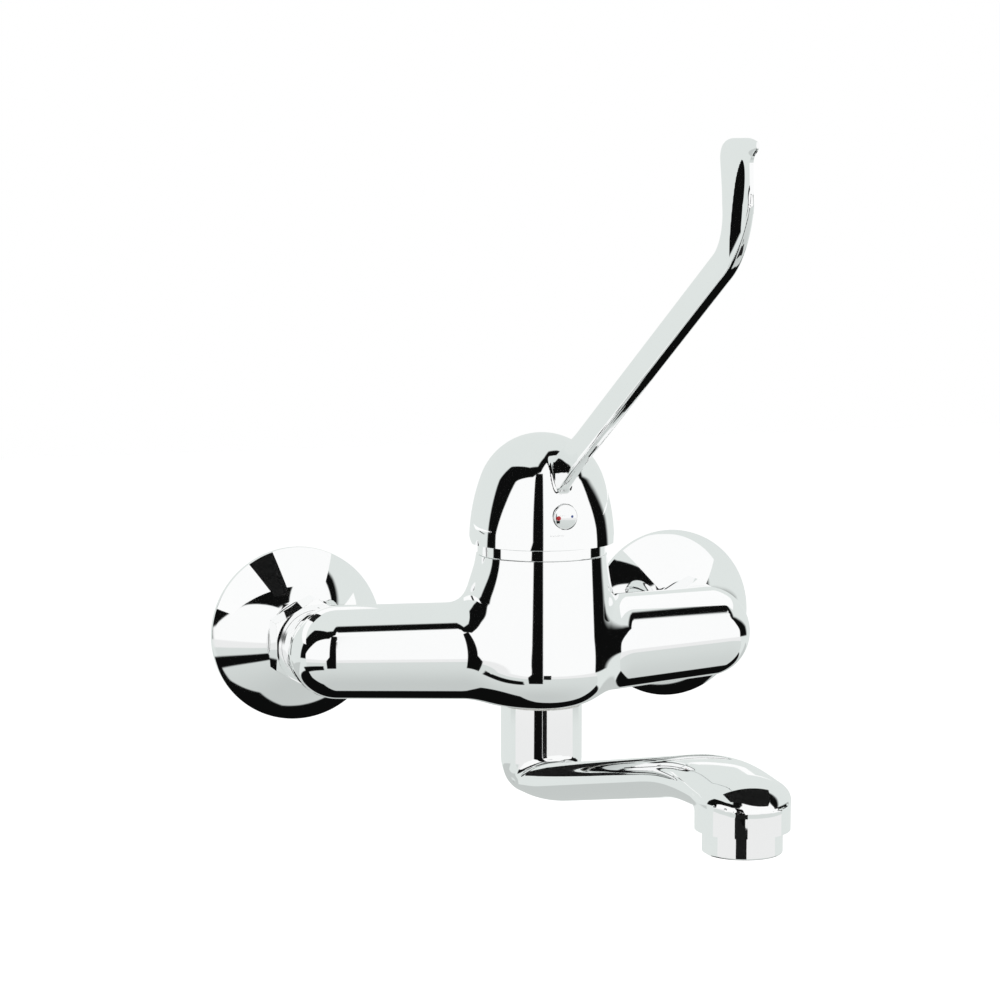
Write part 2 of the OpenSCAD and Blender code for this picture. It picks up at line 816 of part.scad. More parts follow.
// Half width of the run: it starts inside the neck and widens to the outlet, which is round in plan
function run_half(d) = let (
    start = min(run_w / 2, 0.77 * neck_r),
    waist = start + (run_w / 2 - start) * ease(d, 0, neck_r),
    end = outlet_r - 0.05
  ) d > spout_reach
    ? sqrt(max(0.04, pow(end, 2) - pow(d - spout_reach, 2)))
    : waist + (end - waist) * ease(d, 0.45 * spout_reach, spout_reach);

// Squareness of the run's section: round inside the neck, then flat on top
function run_square(d) = 2 + (run_power - 2) * ease(d, 0, 2 * neck_r);

// Stations crowd towards the rounded front of the outlet
function run_place(i) = let (
    body_steps = run_steps - 12
  ) i <= body_steps
    ? spout_reach * i / body_steps
    : spout_reach + (outlet_r - 0.06) * sin(90 * (i - body_steps) / 12);

function run_ring(i) = let (
    d = run_place(i),
    nose = ease(d, spout_reach, spout_reach + outlet_r),
    top = run_top(d) - 3 * pow(nose, 3),
    bottom = min(run_bottom(d), top - 4)
  ) [
    for (j = [0 : run_sides - 1])
      let (a = 360 * j / run_sides)
        [run_half(d) * squarish(cos(a), run_square(d)),
         -barrel_reach - d,
         (top + bottom) / 2 + (top - bottom) / 2 * squarish(sin(a), run_square(d))]
  ];

module spout_waterway() {
  knee = [0, -barrel_reach - run_knee, run_mid(run_knee) + 0.3];
  start = [0, -barrel_reach, run_mid(0) + 2];
  mouth = [0, -barrel_reach - spout_reach, knee[2] + 0.4];
  on_barrel() translate([0, 0, start[2]]) cylinder(r = neck_bore_r, h = -start[2]);
  bore_between(start, knee, run_bore_r, 2);
  bore_between(knee, mouth, run_bore_r - 0.4, 0);
}

// Bore between two points in the plane X = 0 that runs on past the second
module bore_between(a, b, r, past) {
  step = b - a;
  translate(a) rotate([atan2(-step[1], step[2]), 0, 0]) cylinder(r = r, h = norm(step) + past, $fn = 48);
}

module spout() {
  color("silver")
    difference() {
      union() {
        on_barrel() {
          mirror([0, 0, 1]) rotate_extrude() round_ended(neck_r, spout_top, neck_foot);
          translate([0, 0, -spout_top - eps]) cylinder(r = spigot_r, h = spout_top - spigot_top + eps);
        }
        loft([for (i = [0 : run_steps]) run_ring(i)]);
        on_outlet() translate([0, 0, -outlet_drop]) cylinder(r = outlet_r, h = outlet_drop - outlet_top);
      }
      spout_waterway();
      on_barrel() {
        for (drop = o_ring_drops)
          ring(spigot_r - 2 * o_ring_r - run_gap, spigot_r + eps, -drop - o_ring_r - 0.1, 2 * o_ring_r + 0.2);
        ring(spigot_r - lock_groove_d, spigot_r + eps, -lock_drop - lock_groove_w / 2, lock_groove_w);
      }
      on_outlet() {
        translate([0, 0, -outlet_drop - eps])
          cylinder(r = aerator_thread_r + thread_gap, h = outlet_drop - outlet_seat + eps);
        translate([0, 0, -outlet_seat - eps]) cylinder(r = aerator_bore_r - 1, h = 2 + eps);
      }
    }
}

module spout_o_rings() {
  color("dimgray") on_barrel()
    for (drop = o_ring_drops) o_ring(spigot_r + run_gap / 2 - o_ring_r, o_ring_r, -drop);
}

module glide_ring() {
  color("whitesmoke") on_barrel() ring(spigot_r + thread_gap, neck_r - 0.5, -spout_top, glide_t);
}

module aerator_shell() {
  flat_d = 2 * aerator_r - 1.2;
  color("silver") on_outlet()
    difference() {
      union() {
        translate([0, 0, -outlet_drop]) cylinder(r = aerator_thread_r, h = aerator_thread_h);
        translate([0, 0, -outlet_drop - aerator_h]) cylinder(r = aerator_r, h = aerator_h);
      }
      translate([0, 0, -outlet_drop - aerator_h + aerator_lip])
        cylinder(r = aerator_bore_r, h = aerator_h + aerator_thread_h);
      translate([0, 0, -outlet_drop - aerator_h - eps])
        cylinder(r = aerator_bore_r - aerator_lip, h = aerator_h);
      for (side = [-1, 1])
        translate([side * flat_d - flat_d / 2, -aerator_r, -outlet_drop - aerator_h - eps])
          cube([flat_d, 2 * aerator_r, aerator_h / 2 + eps]);
    }
}

module aerator_insert() {
  low = -outlet_drop - aerator_h + aerator_lip;
  color("whitesmoke") on_outlet()
    difference() {
      translate([0, 0, low])
        cylinder(r = aerator_bore_r - thread_gap, h = aerator_h + aerator_thread_h - aerator_lip);
      for (ring_r = [2.4, 4.8, 7.2], k = [0 : 5])
        rotate([0, 0, 60 * k + 5 * ring_r]) translate([ring_r, 0, low - eps])
          cylinder(r = 0.7, h = 3, $fn = 24);
      translate([0, 0, low + 2]) cylinder(r = aerator_bore_r - 1.2, h = aerator_h + aerator_thread_h);
    }
}

module aerator_washer() {
  color("dimgray") on_outlet()
    ring(aerator_bore_r - 1, aerator_thread_r, -outlet_drop + aerator_thread_h, aerator_washer_t);
}

body_casting();
wall_union(-1);  // hot_wall_union
wall_union(1);  // cold_wall_union
wall_rose(-1);  // hot_wall_rose
wall_rose(1);  // cold_wall_rose
union_washer(-1);  // hot_union_washer
union_washer(1);  // cold_union_washer
tailpiece(-1);  // hot_tailpiece
tailpiece(1);  // cold_tailpiece
union_nut(-1);  // hot_union_nut
union_nut(1);  // cold_union_nut
cartridge_base();
cartridge_seals();
fixed_disc();
cartridge_housing();
clamp_nut();
cover_ring();
spout_lock_screw();
cartridge_rotor();
pivot_pin();
moving_disc();
disc_carrier();
spindle();
lever_handle();
grub_screw();
index_plug();
spout();
spout_o_rings();
glide_ring();
aerator_shell();
aerator_insert();
aerator_washer();
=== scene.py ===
"""Looks of a wall mixer tap with a long elbow lever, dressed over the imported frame."""

import json
import math

import bpy
import numpy as np
from mathutils import Matrix, Vector


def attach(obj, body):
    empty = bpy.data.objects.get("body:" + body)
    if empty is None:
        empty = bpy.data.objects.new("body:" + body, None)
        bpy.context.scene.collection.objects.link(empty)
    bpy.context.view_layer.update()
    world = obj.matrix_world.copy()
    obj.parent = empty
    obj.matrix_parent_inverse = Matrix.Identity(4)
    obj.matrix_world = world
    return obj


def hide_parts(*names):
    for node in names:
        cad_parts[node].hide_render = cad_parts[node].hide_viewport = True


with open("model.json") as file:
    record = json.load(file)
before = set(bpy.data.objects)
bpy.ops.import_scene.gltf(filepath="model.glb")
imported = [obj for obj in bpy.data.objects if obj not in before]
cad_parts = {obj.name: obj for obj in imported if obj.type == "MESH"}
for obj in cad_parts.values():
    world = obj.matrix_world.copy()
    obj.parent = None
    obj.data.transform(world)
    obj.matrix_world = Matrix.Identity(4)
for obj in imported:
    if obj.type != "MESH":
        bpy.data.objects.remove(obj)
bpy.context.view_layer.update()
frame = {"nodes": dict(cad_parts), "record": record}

bl_info = {
    "name": "Elbow lever tap",
    "version": (1, 0, 0),
    "blender": (4, 5, 0),
    "location": "View3D > Sidebar > Tap",
    "description": "Dresses the frame of a wall mixer tap with polished castings and a studio",
    "category": "Object",
}

MM = 0.001
BARREL_Y = -64.5


# Sizes and finishes

class TapSizes(bpy.types.PropertyGroup):
    """Sizes that shape the castings, in millimetres of the frame"""

    arm_blend: bpy.props.FloatProperty(
        name="Arm blend", description="How far an arm flows into the barrel, in mm",
        default=7.0, min=1.0, max=12.0)
    root_blend: bpy.props.FloatProperty(
        name="Lever root blend", description="Fillet where the lever leaves the dome, in mm",
        default=1.2, min=0.3, max=4.0)
    spout_blend: bpy.props.FloatProperty(
        name="Spout blend", description="Fillet inside the bend of the spout, in mm",
        default=2.5, min=0.5, max=6.0)
    casting_step: bpy.props.FloatProperty(
        name="Casting step", description="Mesh size on the castings, in mm",
        default=0.85, min=0.4, max=3.0)
    dot_radius: bpy.props.FloatProperty(
        name="Dot radius", description="Radius of the hot dot, in mm; the cold one is smaller",
        default=0.8, min=0.3, max=1.5)
    edge_round: bpy.props.FloatProperty(
        name="Edge rounding", description="Rounding of the turned edges, in mm",
        default=0.35, min=0.05, max=0.6)


COLOUR = {"subtype": "COLOR", "size": 3, "min": 0.0, "max": 1.0}


class TapFinish(bpy.types.PropertyGroup):
    """Colours and gloss of the tap"""

    chrome: bpy.props.FloatVectorProperty(
        name="Chrome", description="Reflection colour of the chrome",
        default=(0.965, 0.972, 0.972), **COLOUR)
    chrome_gloss: bpy.props.FloatProperty(
        name="Chrome roughness", description="Roughness of the polished chrome",
        default=0.035, min=0.0, max=0.5)
    brass: bpy.props.FloatVectorProperty(
        name="Brass", description="Colour of the turned brass",
        default=(0.72, 0.5, 0.22), **COLOUR)
    rubber: bpy.props.FloatVectorProperty(
        name="Rubber", description="Colour of the seals",
        default=(0.018, 0.018, 0.019), **COLOUR)
    plastic: bpy.props.FloatVectorProperty(
        name="White plastic", description="Colour of the cartridge plastic",
        default=(0.78, 0.78, 0.74), **COLOUR)
    ceramic: bpy.props.FloatVectorProperty(
        name="Ceramic", description="Colour of the ceramic discs",
        default=(0.86, 0.85, 0.81), **COLOUR)
    steel: bpy.props.FloatVectorProperty(
        name="Steel", description="Colour of the screws and the pin",
        default=(0.5, 0.5, 0.52), **COLOUR)
    hot: bpy.props.FloatVectorProperty(
        name="Hot dot", description="Colour of the hot dot",
        default=(0.32, 0.012, 0.016), **COLOUR)
    cold: bpy.props.FloatVectorProperty(
        name="Cold dot", description="Colour of the cold dot",
        default=(0.03, 0.06, 0.2), **COLOUR)


def sizes():
    return bpy.context.scene.tap_sizes


def finish():
    return bpy.context.scene.tap_finish


# Mesh tools. TINY and GUARD keep quotients and roots off zero

TINY = 1e-9
GUARD = 1e-12
WELD = 1e-7
LEAST_SLOPE = 0.05
LONGEST_MOVE = 2.0
ROUGH_STEP = 1.6
ROUGH_ROUNDS = 5
FINE_ROUNDS = 6
SKIN_COSINE = 0.75
FINE_SIDES = 96
FINEST_SIDES = 160
SMALL_ROUND = 0.2


def mode(name):
    bpy.ops.object.mode_set(mode=name)


def deselect():
    if bpy.context.object and bpy.context.object.mode != "OBJECT":
        mode("OBJECT")
    bpy.ops.object.select_all(action="DESELECT")
    bpy.context.view_layer.objects.active = None


def pick(*objs):
    deselect()
    for o in objs:
        o.select_set(True)
    bpy.context.view_layer.objects.active = objs[0]


def join(name, parts):
    pick(*parts)
    if len(parts) > 1:
        bpy.ops.object.join()
    bpy.ops.object.transform_apply(location=True, rotation=True, scale=True)
    obj = bpy.context.object
    obj.name = obj.data.name = name
    return obj


def rod(start, end, radius, sides=48):
    """Cylinder between two points, in mm."""
    a, b = Vector(start) * MM, Vector(end) * MM
    turn = (b - a).to_track_quat("Z", "Y").to_euler()
    bpy.ops.mesh.primitive_cylinder_add(
        vertices=sides, radius=radius * MM, depth=(b - a).length, location=(a + b) / 2, rotation=turn)
    return bpy.context.object


def ball(place, radius):
    bpy.ops.mesh.primitive_uv_sphere_add(
        segments=48, ring_count=24, radius=radius * MM, location=Vector(place) * MM)
    return bpy.context.object


def bar(start, end, width, height):
    """Box of a width along X and a height across the line between two points in the plane X = 0, in mm."""
    a, b = Vector(start) * MM, Vector(end) * MM
    tilt = math.atan2((b - a).z, -(b - a).y)
    bpy.ops.mesh.primitive_cube_add(size=1, location=(a + b) / 2, rotation=(-tilt, 0, 0))
    bpy.context.object.scale = (width * MM, (b - a).length, height * MM)
    return bpy.context.object


def grab(items, key, kind, width=1):
    out = np.empty(len(items) * width, kind)
    items.foreach_get(key, out)
    return out


def points(obj):
    return grab(obj.data.vertices, "co", np.float32, 3).reshape(-1, 3).astype(float) / MM


def set_points(obj, p):
    obj.data.vertices.foreach_set("co", (p * MM).astype(np.float32).ravel())
    obj.data.update()


def slope(field, p, h=0.02):
    g = np.empty_like(p)
    for i in range(3):
        d = np.zeros(3)
        d[i] = h
        g[:, i] = (field(*(p + d).T) - field(*(p - d).T)) / (2 * h)
    return g


def settle(obj, field, rounds):
    """Moves every vertex onto the surface where the field is zero."""
    p = points(obj)
    for _ in range(rounds):
        f = field(*p.T)
        g = slope(field, p)
        step = f[:, None] * g / np.maximum((g * g).sum(1), LEAST_SLOPE)[:, None]
        length = np.linalg.norm(step, axis=1)
        p -= step * np.minimum(1.0, LONGEST_MOVE / np.maximum(length, TINY))[:, None]
    set_points(obj, p)


def remesh(obj, step):
    pick(obj)
    obj.data.remesh_voxel_size = step * MM
    obj.data.remesh_voxel_adaptivity = 0.0
    bpy.ops.object.voxel_remesh()


def cast(name, parts, field, step):
    """Casting skin: rough solids are joined, remeshed and settled on the casting's surface."""
    obj = join(name, parts)
    remesh(obj, step * ROUGH_STEP)
    settle(obj, field, ROUGH_ROUNDS)
    remesh(obj, step)
    settle(obj, field, FINE_ROUNDS)
    return obj


def slice_off(obj, place, normal, keep=None):
    """Cuts a flat end on the side the normal points to, only where keep holds for a face's centre in mm."""
    pick(obj)
    mode("EDIT")
    bpy.ops.mesh.select_all(action="DESELECT")
    mode("OBJECT")
    for poly in obj.data.polygons:
        poly.select = keep is None or keep(*(Vector(poly.center) / MM))
    mode("EDIT")
    bpy.ops.mesh.select_mode(type="FACE")
    bpy.ops.mesh.bisect(
        plane_co=Vector(place) * MM, plane_no=normal, use_fill=True, clear_outer=True, threshold=1e-6)
    mode("OBJECT")


def alter(obj, name, kind, **settings):
    """Applies a modifier with these settings."""
    pick(obj)
    change = obj.modifiers.new(name, kind)
    for key, value in settings.items():
        setattr(change, key, value)
    bpy.ops.object.modifier_apply(modifier=change.name)


def hollow(obj, tool, keep="DIFFERENCE"):
    """Takes a tool solid out of a piece, or keeps what both share."""
    alter(obj, "Hollow", "BOOLEAN", operation=keep, solver="EXACT", object=tool)
    bpy.data.objects.remove(tool)


def drill(obj, start, end, radius):
    hollow(obj, rod(start, end, radius, FINE_SIDES))


def polish(obj, field, hone=None):
    """Smooth normals from the field on the skin, honed where asked, and flat ones on machined ends."""
    pick(obj)
    bpy.ops.object.shade_smooth()
    me = obj.data
    g = slope(field, points(obj))
    g /= np.maximum(np.linalg.norm(g, axis=1), TINY)[:, None]
    if hone:
        g = hone(points(obj), g)
    corner = grab(me.loops, "vertex_index", np.int32)
    count = grab(me.polygons, "loop_total", np.int32)
    face = grab(me.polygons, "normal", np.float32, 3)
    face = np.repeat(face.reshape(-1, 3), count, axis=0)
    normal = g[corner]
    off = (normal * face).sum(1) < SKIN_COSINE
    normal[off] = face[off]
    me.normals_split_custom_set(normal.tolist())


def rounded(corners, steps=5):
    """Closed outline with rounded corners, each given as radius from the axis, height and rounding."""
    out = []
    for i, (r, h, k) in enumerate(corners):
        here = Vector((r, h))
        if not k:
            out.append(here)
            continue
        a = (Vector(corners[i - 1][:2]) - here).normalized()
        b = (Vector(corners[(i + 1) % len(corners)][:2]) - here).normalized()
        half = a.angle(b) / 2
        centre = here + (a + b).normalized() * (k / math.sin(half))
        u, w = here + a * (k / math.tan(half)) - centre, here + b * (k / math.tan(half)) - centre
        for j in range(steps + 1):
            out.append(centre + u.lerp(w, j / steps).normalized() * k)
    return out


def arc(centre, radius, start, end, steps):
    """Points of an arc in an outline, with angles in radians from the outward radius."""
    turns = [start + (end - start) * i / steps for i in range(steps + 1)]
    return [Vector((centre[0] + radius * math.cos(t), centre[1] + radius * math.sin(t))) for t in turns]


def turned(name, outline, place, axis, sides):
    """Turned piece: a closed outline of (radius, height) in mm, extruded point by point and spun."""
    deselect()
    bpy.ops.mesh.primitive_plane_add(size=MM)
    obj = bpy.context.object
    mode("EDIT")
    bpy.ops.mesh.select_mode(type="VERT")
    bpy.ops.mesh.select_all(action="SELECT")
    bpy.ops.mesh.merge(type="CENTER")
    here = Vector((0, 0))
    for i, spot in enumerate([*outline, outline[0]]):
        move = {"value": ((spot[0] - here[0]) * MM, 0, (spot[1] - here[1]) * MM)}
        if i:
            bpy.ops.mesh.extrude_region_move(TRANSFORM_OT_translate=move)
        else:
            bpy.ops.transform.translate(**move)
        here = spot
    bpy.ops.mesh.select_all(action="SELECT")
    bpy.ops.mesh.remove_doubles(threshold=WELD)
    bpy.ops.mesh.spin(steps=sides, angle=2 * math.pi, center=(0, 0, 0), axis=(0, 0, 1))
    bpy.ops.mesh.select_all(action="SELECT")
    bpy.ops.mesh.remove_doubles(threshold=WELD)
    bpy.ops.mesh.normals_make_consistent(inside=False)
    mode("OBJECT")
    obj.rotation_euler = Vector(axis).to_track_quat("Z", "Y").to_euler()
    obj.location = Vector(place) * MM
    bpy.ops.object.transform_apply(location=True, rotation=True, scale=True)
    obj.name = obj.data.name = name
    return obj


def face_up(obj, degrees=35.0):
    """Smooth shading on rounds, with flat faces kept flat."""
    pick(obj)
    bpy.ops.object.shade_smooth_by_angle(angle=math.radians(degrees))
    alter(obj, "Flats", "WEIGHTED_NORMAL", keep_sharp=True, weight=80)


def break_edges(obj, width, degrees=25.0):
    """Small bevel on the sharp edges of a machined piece."""
    alter(obj, "Broken edges", "BEVEL", width=width * MM, segments=3, limit_method="ANGLE",
          angle_limit=math.radians(degrees))


def settle_in(obj, node, body):
    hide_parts(node)
    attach(obj, body)


# Fields of the castings, in mm. Cores are the rough solids that a casting is remeshed from, and tools
# reach past the faces that they cut

def soft_min(a, b, k):
    h = np.clip(0.5 + 0.5 * (b - a) / k, 0.0, 1.0)
    return b * (1 - h) + a * h - k * h * (1 - h)


def ease(x, a, b):
    t = np.clip((x - a) / (b - a), 0.0, 1.0)
    return t * t * (3 - 2 * t)


BARREL_TOP = 35.2
BARREL_FOOT = -19.0
ROUND_R = 14.0
ROUND_Z = -5.44
LOW_R = 25.4
TOP_R = 23.6
SHOULDER = 3.4
ELBOW = (71.6, -46.0)
ELBOW_R = 16.8
ARM_ROOT_R = 18.0
ARM_TURN = math.atan2(ELBOW[1] - BARREL_Y, ELBOW[0])
LEG_X = 75.0
LEG_R = 13.2
LEG_END = -31.5
LEG_START = -45.0
LEG_BLEND = 3.0
SWELL_TOP = BARREL_TOP + 1
LOBE_POWER = 6
BARREL_CORE_R = 24.5
ARM_CORE_R = 17.0
ELBOW_CORE_R = 16.2
LEG_CORE_R = 12.0
CORE_FOOT = -18.0
CORE_TOP = 41.0
CORE_BACK = -24.0
CARTRIDGE_R = 20.05
CARTRIDGE_FLOOR = 9.0
CLAMP_R = 22.45
CLAMP_FLOOR = 28.0
SOCKET_R = 11.05
SOCKET_TOP = -6.0
TAIL_R = 10.65
TAIL_END = -38.5
TOOL_TOP = 40.0
TOOL_FOOT = -25.0
TOOL_BACK = -25.0


def barrel_field(x, y, z):
    """Barrel that swells towards the arms below its top."""
    q = y - BARREL_Y
    r = np.hypot(x, q)
    across = np.abs(x) * math.cos(ARM_TURN) + q * math.sin(ARM_TURN)
    lobe = np.maximum(0.0, across / np.maximum(r, TINY)) ** LOBE_POWER
    swell = SHOULDER * ease(z, SWELL_TOP, ARM_ROOT_R) * ease(z, BARREL_FOOT, 0.0) * lobe
    straight = r - swell - (LOW_R + (TOP_R - LOW_R) * (z - ROUND_Z) / (BARREL_TOP - ROUND_Z))
    foot = np.hypot(np.maximum(r - swell - LOW_R + ROUND_R, 0.0), z - ROUND_Z) - ROUND_R
    return np.where(z > ROUND_Z, straight, foot)


def arm_field(x, y, z):
    """Both arms: a rounded elbow, a taper to the barrel and a leg to the wall."""
    ax = np.abs(x)
    run = np.array([-ELBOW[0], BARREL_Y - ELBOW[1]])
    length = np.hypot(*run)
    run /= length
    dx, dy = ax - ELBOW[0], y - ELBOW[1]
    t = dx * run[0] + dy * run[1]
    off = np.hypot(dx * run[1] - dy * run[0], z)
    taper = ELBOW_R + (ARM_ROOT_R - ELBOW_R) * np.clip(t, 0, length) / length
    arm = np.hypot(off, np.minimum(t, 0.0)) - taper
    leg = np.maximum(np.hypot(ax - LEG_X, z) - LEG_R, LEG_START - y)
    return soft_min(arm, leg, LEG_BLEND)


def body_field(x, y, z):
    k = sizes().arm_blend
    return soft_min(barrel_field(x, y, z), arm_field(x, y, z), k)


DOME_R = 26.1
DOME_BASE = 39.6
DOME_TOP = 78.9
DOME_SIDE = 70.0
PIVOT_Z = 42.0
LIFT = math.radians(20)
LEVER_REACH = 175.0
ARM_Z = 54.4
ARM_SLOPE = math.radians(28.7)
BEND_R = 22.0
LEVER_TOP = 183.0
LEVER_T = 4.4
ARM_H = (10.8, 10.2)
PADDLE_FRONT = 11.5
PADDLE_BACK = 7.8
PADDLE_SWELL = 2.6
LIP_D = 5.0
LIP_BELOW = 2.0
LIP_SPREAD = 2.6
ROOT_SWELL = 0.8
ROOT_FADE = (6.0, 16.0)
WIDEN_POWER = 1.5
TIP_CREST = 6.4
TIP_DROP = 9.0
TIP_ROUND = 2.5
TIP_FRONT = 0.55
TIP_THIN = 0.3
ARM_TAPER = 0.1
PADDLE_TAPER = 0.45
TIP_TAPER = 0.35
TAPER_START = 0.3
TAPER_POWER = 1.3
LEAST_HALF = 0.3
LEAST_EDGE = 0.01
LEVER_POWER = 4.5
LEVER_START = 14.0
BEND_TANGENT = BEND_R * math.tan((math.pi / 2 - ARM_SLOPE) / 2)
BEND_TOP = ARM_Z + LEVER_REACH * math.tan(ARM_SLOPE) + BEND_TANGENT
ARM_END = LEVER_REACH / math.cos(ARM_SLOPE) - BEND_TANGENT


def dome_field(x, y, z):
    """Dome: a flat side arc that runs on into a rounder crown."""
    r = np.hypot(x, y - BARREL_Y)
    k = DOME_TOP - DOME_SIDE
    crown_z = ((DOME_SIDE - DOME_R) ** 2 + DOME_BASE ** 2 - k ** 2) / (2 * (DOME_BASE - k))
    crown_r = DOME_TOP - crown_z
    a = DOME_SIDE - DOME_R
    side = np.hypot(r + a, z - DOME_BASE) - DOME_SIDE
    crown = np.hypot(r, z - crown_z) - crown_r
    above = (z - crown_z) * a - r * (crown_z - DOME_BASE) > 0
    return np.where(above, crown, side)


def lever_field(x, y, z):
    """Arm, bend and paddle of the lever as one bar of squarish section."""
    d = BARREL_Y - y
    c, s = math.cos(ARM_SLOPE), math.sin(ARM_SLOPE)
    u = d * c + (z - ARM_Z) * s
    v_arm = -d * s + (z - ARM_Z) * c
    centre_d, centre_z = LEVER_REACH - BEND_R, BEND_TOP
    v_bend = BEND_R - np.hypot(d - centre_d, z - centre_z)
    turn = np.clip(np.arctan2(z - centre_z, d - centre_d) / (math.pi / 2 - ARM_SLOPE) + 1, 0, 1)
    v_pad = LEVER_REACH - d
    on_arm = u < ARM_END
    on_pad = ~on_arm & (z >= BEND_TOP)
    v = np.where(on_arm, v_arm, np.where(on_pad, v_pad, v_bend))
    root = ROOT_SWELL * (1 - ease(d, DOME_R - ROOT_FADE[0], DOME_R + ROOT_FADE[1]))
    arm = (ARM_H[0] + (ARM_H[1] - ARM_H[0]) * np.clip(u / ARM_END, 0, 1)) / 2 + root
    widen = turn ** WIDEN_POWER
    left = LEVER_TOP - z
    over = np.clip((TIP_CREST - left) / TIP_CREST, 0, 1)
    swell = PADDLE_SWELL * (1 - ease(left, 0, LEVER_TOP - BEND_TOP))
    pad_back = PADDLE_BACK + swell - TIP_DROP * (1 - np.sqrt(1 - over ** 2))
    edge = np.clip(TIP_ROUND - left, 0, TIP_ROUND) / TIP_ROUND
    edge = np.sqrt(np.clip(1 - edge ** 2, LEAST_EDGE, 1))
    lip = LIP_D * np.exp(-(((left - LIP_BELOW) / LIP_SPREAD) ** 2))
    pad_front = (PADDLE_FRONT + lip) * (TIP_FRONT + (1 - TIP_FRONT) * edge)
    half = ARM_H[1] / 2
    back = np.where(on_arm, arm, np.where(on_pad, pad_back, half + (PADDLE_BACK - half) * widen))
    front = np.where(on_arm, arm, np.where(on_pad, pad_front, half + (PADDLE_FRONT - half) * widen))
    reach = np.where(v > 0, v / np.maximum(back, LEAST_HALF), -v / np.maximum(front, LEAST_HALF))
    climb = np.clip((z - BEND_TOP) / (LEVER_TOP - BEND_TOP), 0, 1)
    pad_taper = PADDLE_TAPER + TIP_TAPER * np.sqrt(climb)
    bend_taper = ARM_TAPER + (PADDLE_TAPER - ARM_TAPER) * widen
    taper = np.where(on_arm, ARM_TAPER, np.where(on_pad, pad_taper, bend_taper))
    outer = np.clip((reach - TAPER_START) / (1 - TAPER_START), 0, 1)
    thin = 1 - taper * np.where(v < 0, outer ** TAPER_POWER, 0.0)
    tip = LEVER_T / 2 * (TIP_THIN + (1 - TIP_THIN) * edge)
    thick = np.where(on_pad, tip, LEVER_T / 2 + root) * thin
    p = LEVER_POWER
    f = ((np.abs(x) / thick) ** p + reach ** p + GUARD) ** (1 / p) - 1
    return np.maximum(np.maximum(f * thick, z - LEVER_TOP), LEVER_START - u)


PLUG_Z = 51.4
PLUG_R = 4.4
PLUG_SEAT = 22.6
PLUG_FRONT = 26.3
PLUG_SWELL = 11.0
PLUG_EDGE = 0.45
PLUG_LIFT = 0.1
PLUG_STEP = 0.05
PLUG_SHARP = 50.0
BEAD_RISE = 4
DOT_SUNK = 0.25


def handle_field(x, y, z):
    return soft_min(dome_field(x, y, z), lever_field(x, y, z), sizes().root_blend)


SPOUT_REACH = 184.0
NECK_R = 14.7
NECK_FOOT = -39.0
RUN_Z = -49.2
RUN_RISE = 34.6
RUN_KNEE = SPOUT_REACH - 32
RUN_H = (14.0, 13.4)
RUN_W = 24.0
RUN_SQUARE = 0.3
OUTLET_R = 14.55
OUTLET_FOOT = -24.3
SPOUT_TOP = -19.65
CREST_RISE = 2.0
CREST_FALL = 0.065
RUN_BLEND = 5.0
NOSE_DROP = 3.0
SOLE_ABOVE_BALL = 0.4
RUN_START = 0.77
OUTLET_SWELL = 0.45
SQUARE_FADE = (-24.0, 4.0)
RUN_BACK = 2.0
OUTLET_BLEND = (0.3, 1.3)
OUTLET_FADE = (-2.0, 10.0)
NECK_BLEND = 0.02
BEND_FADE = (-52.0, -44.0)
FAR = 50.0


def run_lines(dd):
    """Heights of the run's top and bottom along the spout."""
    mid = RUN_Z + RUN_RISE * dd / RUN_KNEE
    h = RUN_H[0] + (RUN_H[1] - RUN_H[0]) * dd / SPOUT_REACH
    crest = RUN_Z + RUN_RISE + RUN_H[1] / 2 + CREST_RISE - CREST_FALL * (dd - RUN_KNEE)
    nose = ease(dd, SPOUT_REACH, SPOUT_REACH + OUTLET_R)
    top = soft_min(mid + h / 2, crest, RUN_BLEND) - NOSE_DROP * nose ** 3
    sole = soft_min(mid - h / 2, np.full_like(mid, RUN_Z + RUN_RISE - RUN_H[1] / 2), RUN_BLEND)
    return top, -soft_min(-sole, np.full_like(mid, -NECK_FOOT + NECK_R - SOLE_ABOVE_BALL), RUN_BLEND)


def run_field(x, y, z):
    """Run of the spout: round in the neck, flat on top, and round in plan at the outlet."""
    d = BARREL_Y - y
    dd = np.clip(d, 0, SPOUT_REACH + OUTLET_R)
    top, bottom = run_lines(dd)
    start = RUN_START * NECK_R
    waist = start + (RUN_W / 2 - start) * ease(dd, 0, NECK_R)
    half = waist + (OUTLET_R - waist) * ease(dd, OUTLET_SWELL * SPOUT_REACH, SPOUT_REACH)
    across = np.where(d > SPOUT_REACH, np.hypot(x, d - SPOUT_REACH), np.abs(x)) / half
    p = 2 + RUN_SQUARE * ease(dd, 0, 2 * NECK_R) * (1 - ease(dd - SPOUT_REACH, *SQUARE_FADE))
    tall = (top - bottom) / 2
    f = (across ** p + (np.abs(z - (top + bottom) / 2) / tall) ** p + GUARD) ** (1 / p) - 1
    return np.maximum(f * np.minimum(tall, half), -d - RUN_BACK)


def spout_field(x, y, z):
    d = BARREL_Y - y
    neck = np.sqrt(x ** 2 + d ** 2 + np.minimum(z - NECK_FOOT, 0) ** 2) - NECK_R
    top, bottom = run_lines(np.clip(d, 0, SPOUT_REACH + OUTLET_R))
    outlet = np.maximum(np.hypot(x, d - SPOUT_REACH) - OUTLET_R, z - (top + bottom) / 2)
    blend = OUTLET_BLEND[0] + OUTLET_BLEND[1] * ease(SPOUT_REACH - d, *OUTLET_FADE)
    run = soft_min(run_field(x, y, z), outlet, blend)
    near_neck = np.where(d < SPOUT_REACH / 2, neck, FAR)
    return soft_min(run, near_neck, NECK_BLEND + sizes().spout_blend * ease(z, *BEND_FADE))


# Materials

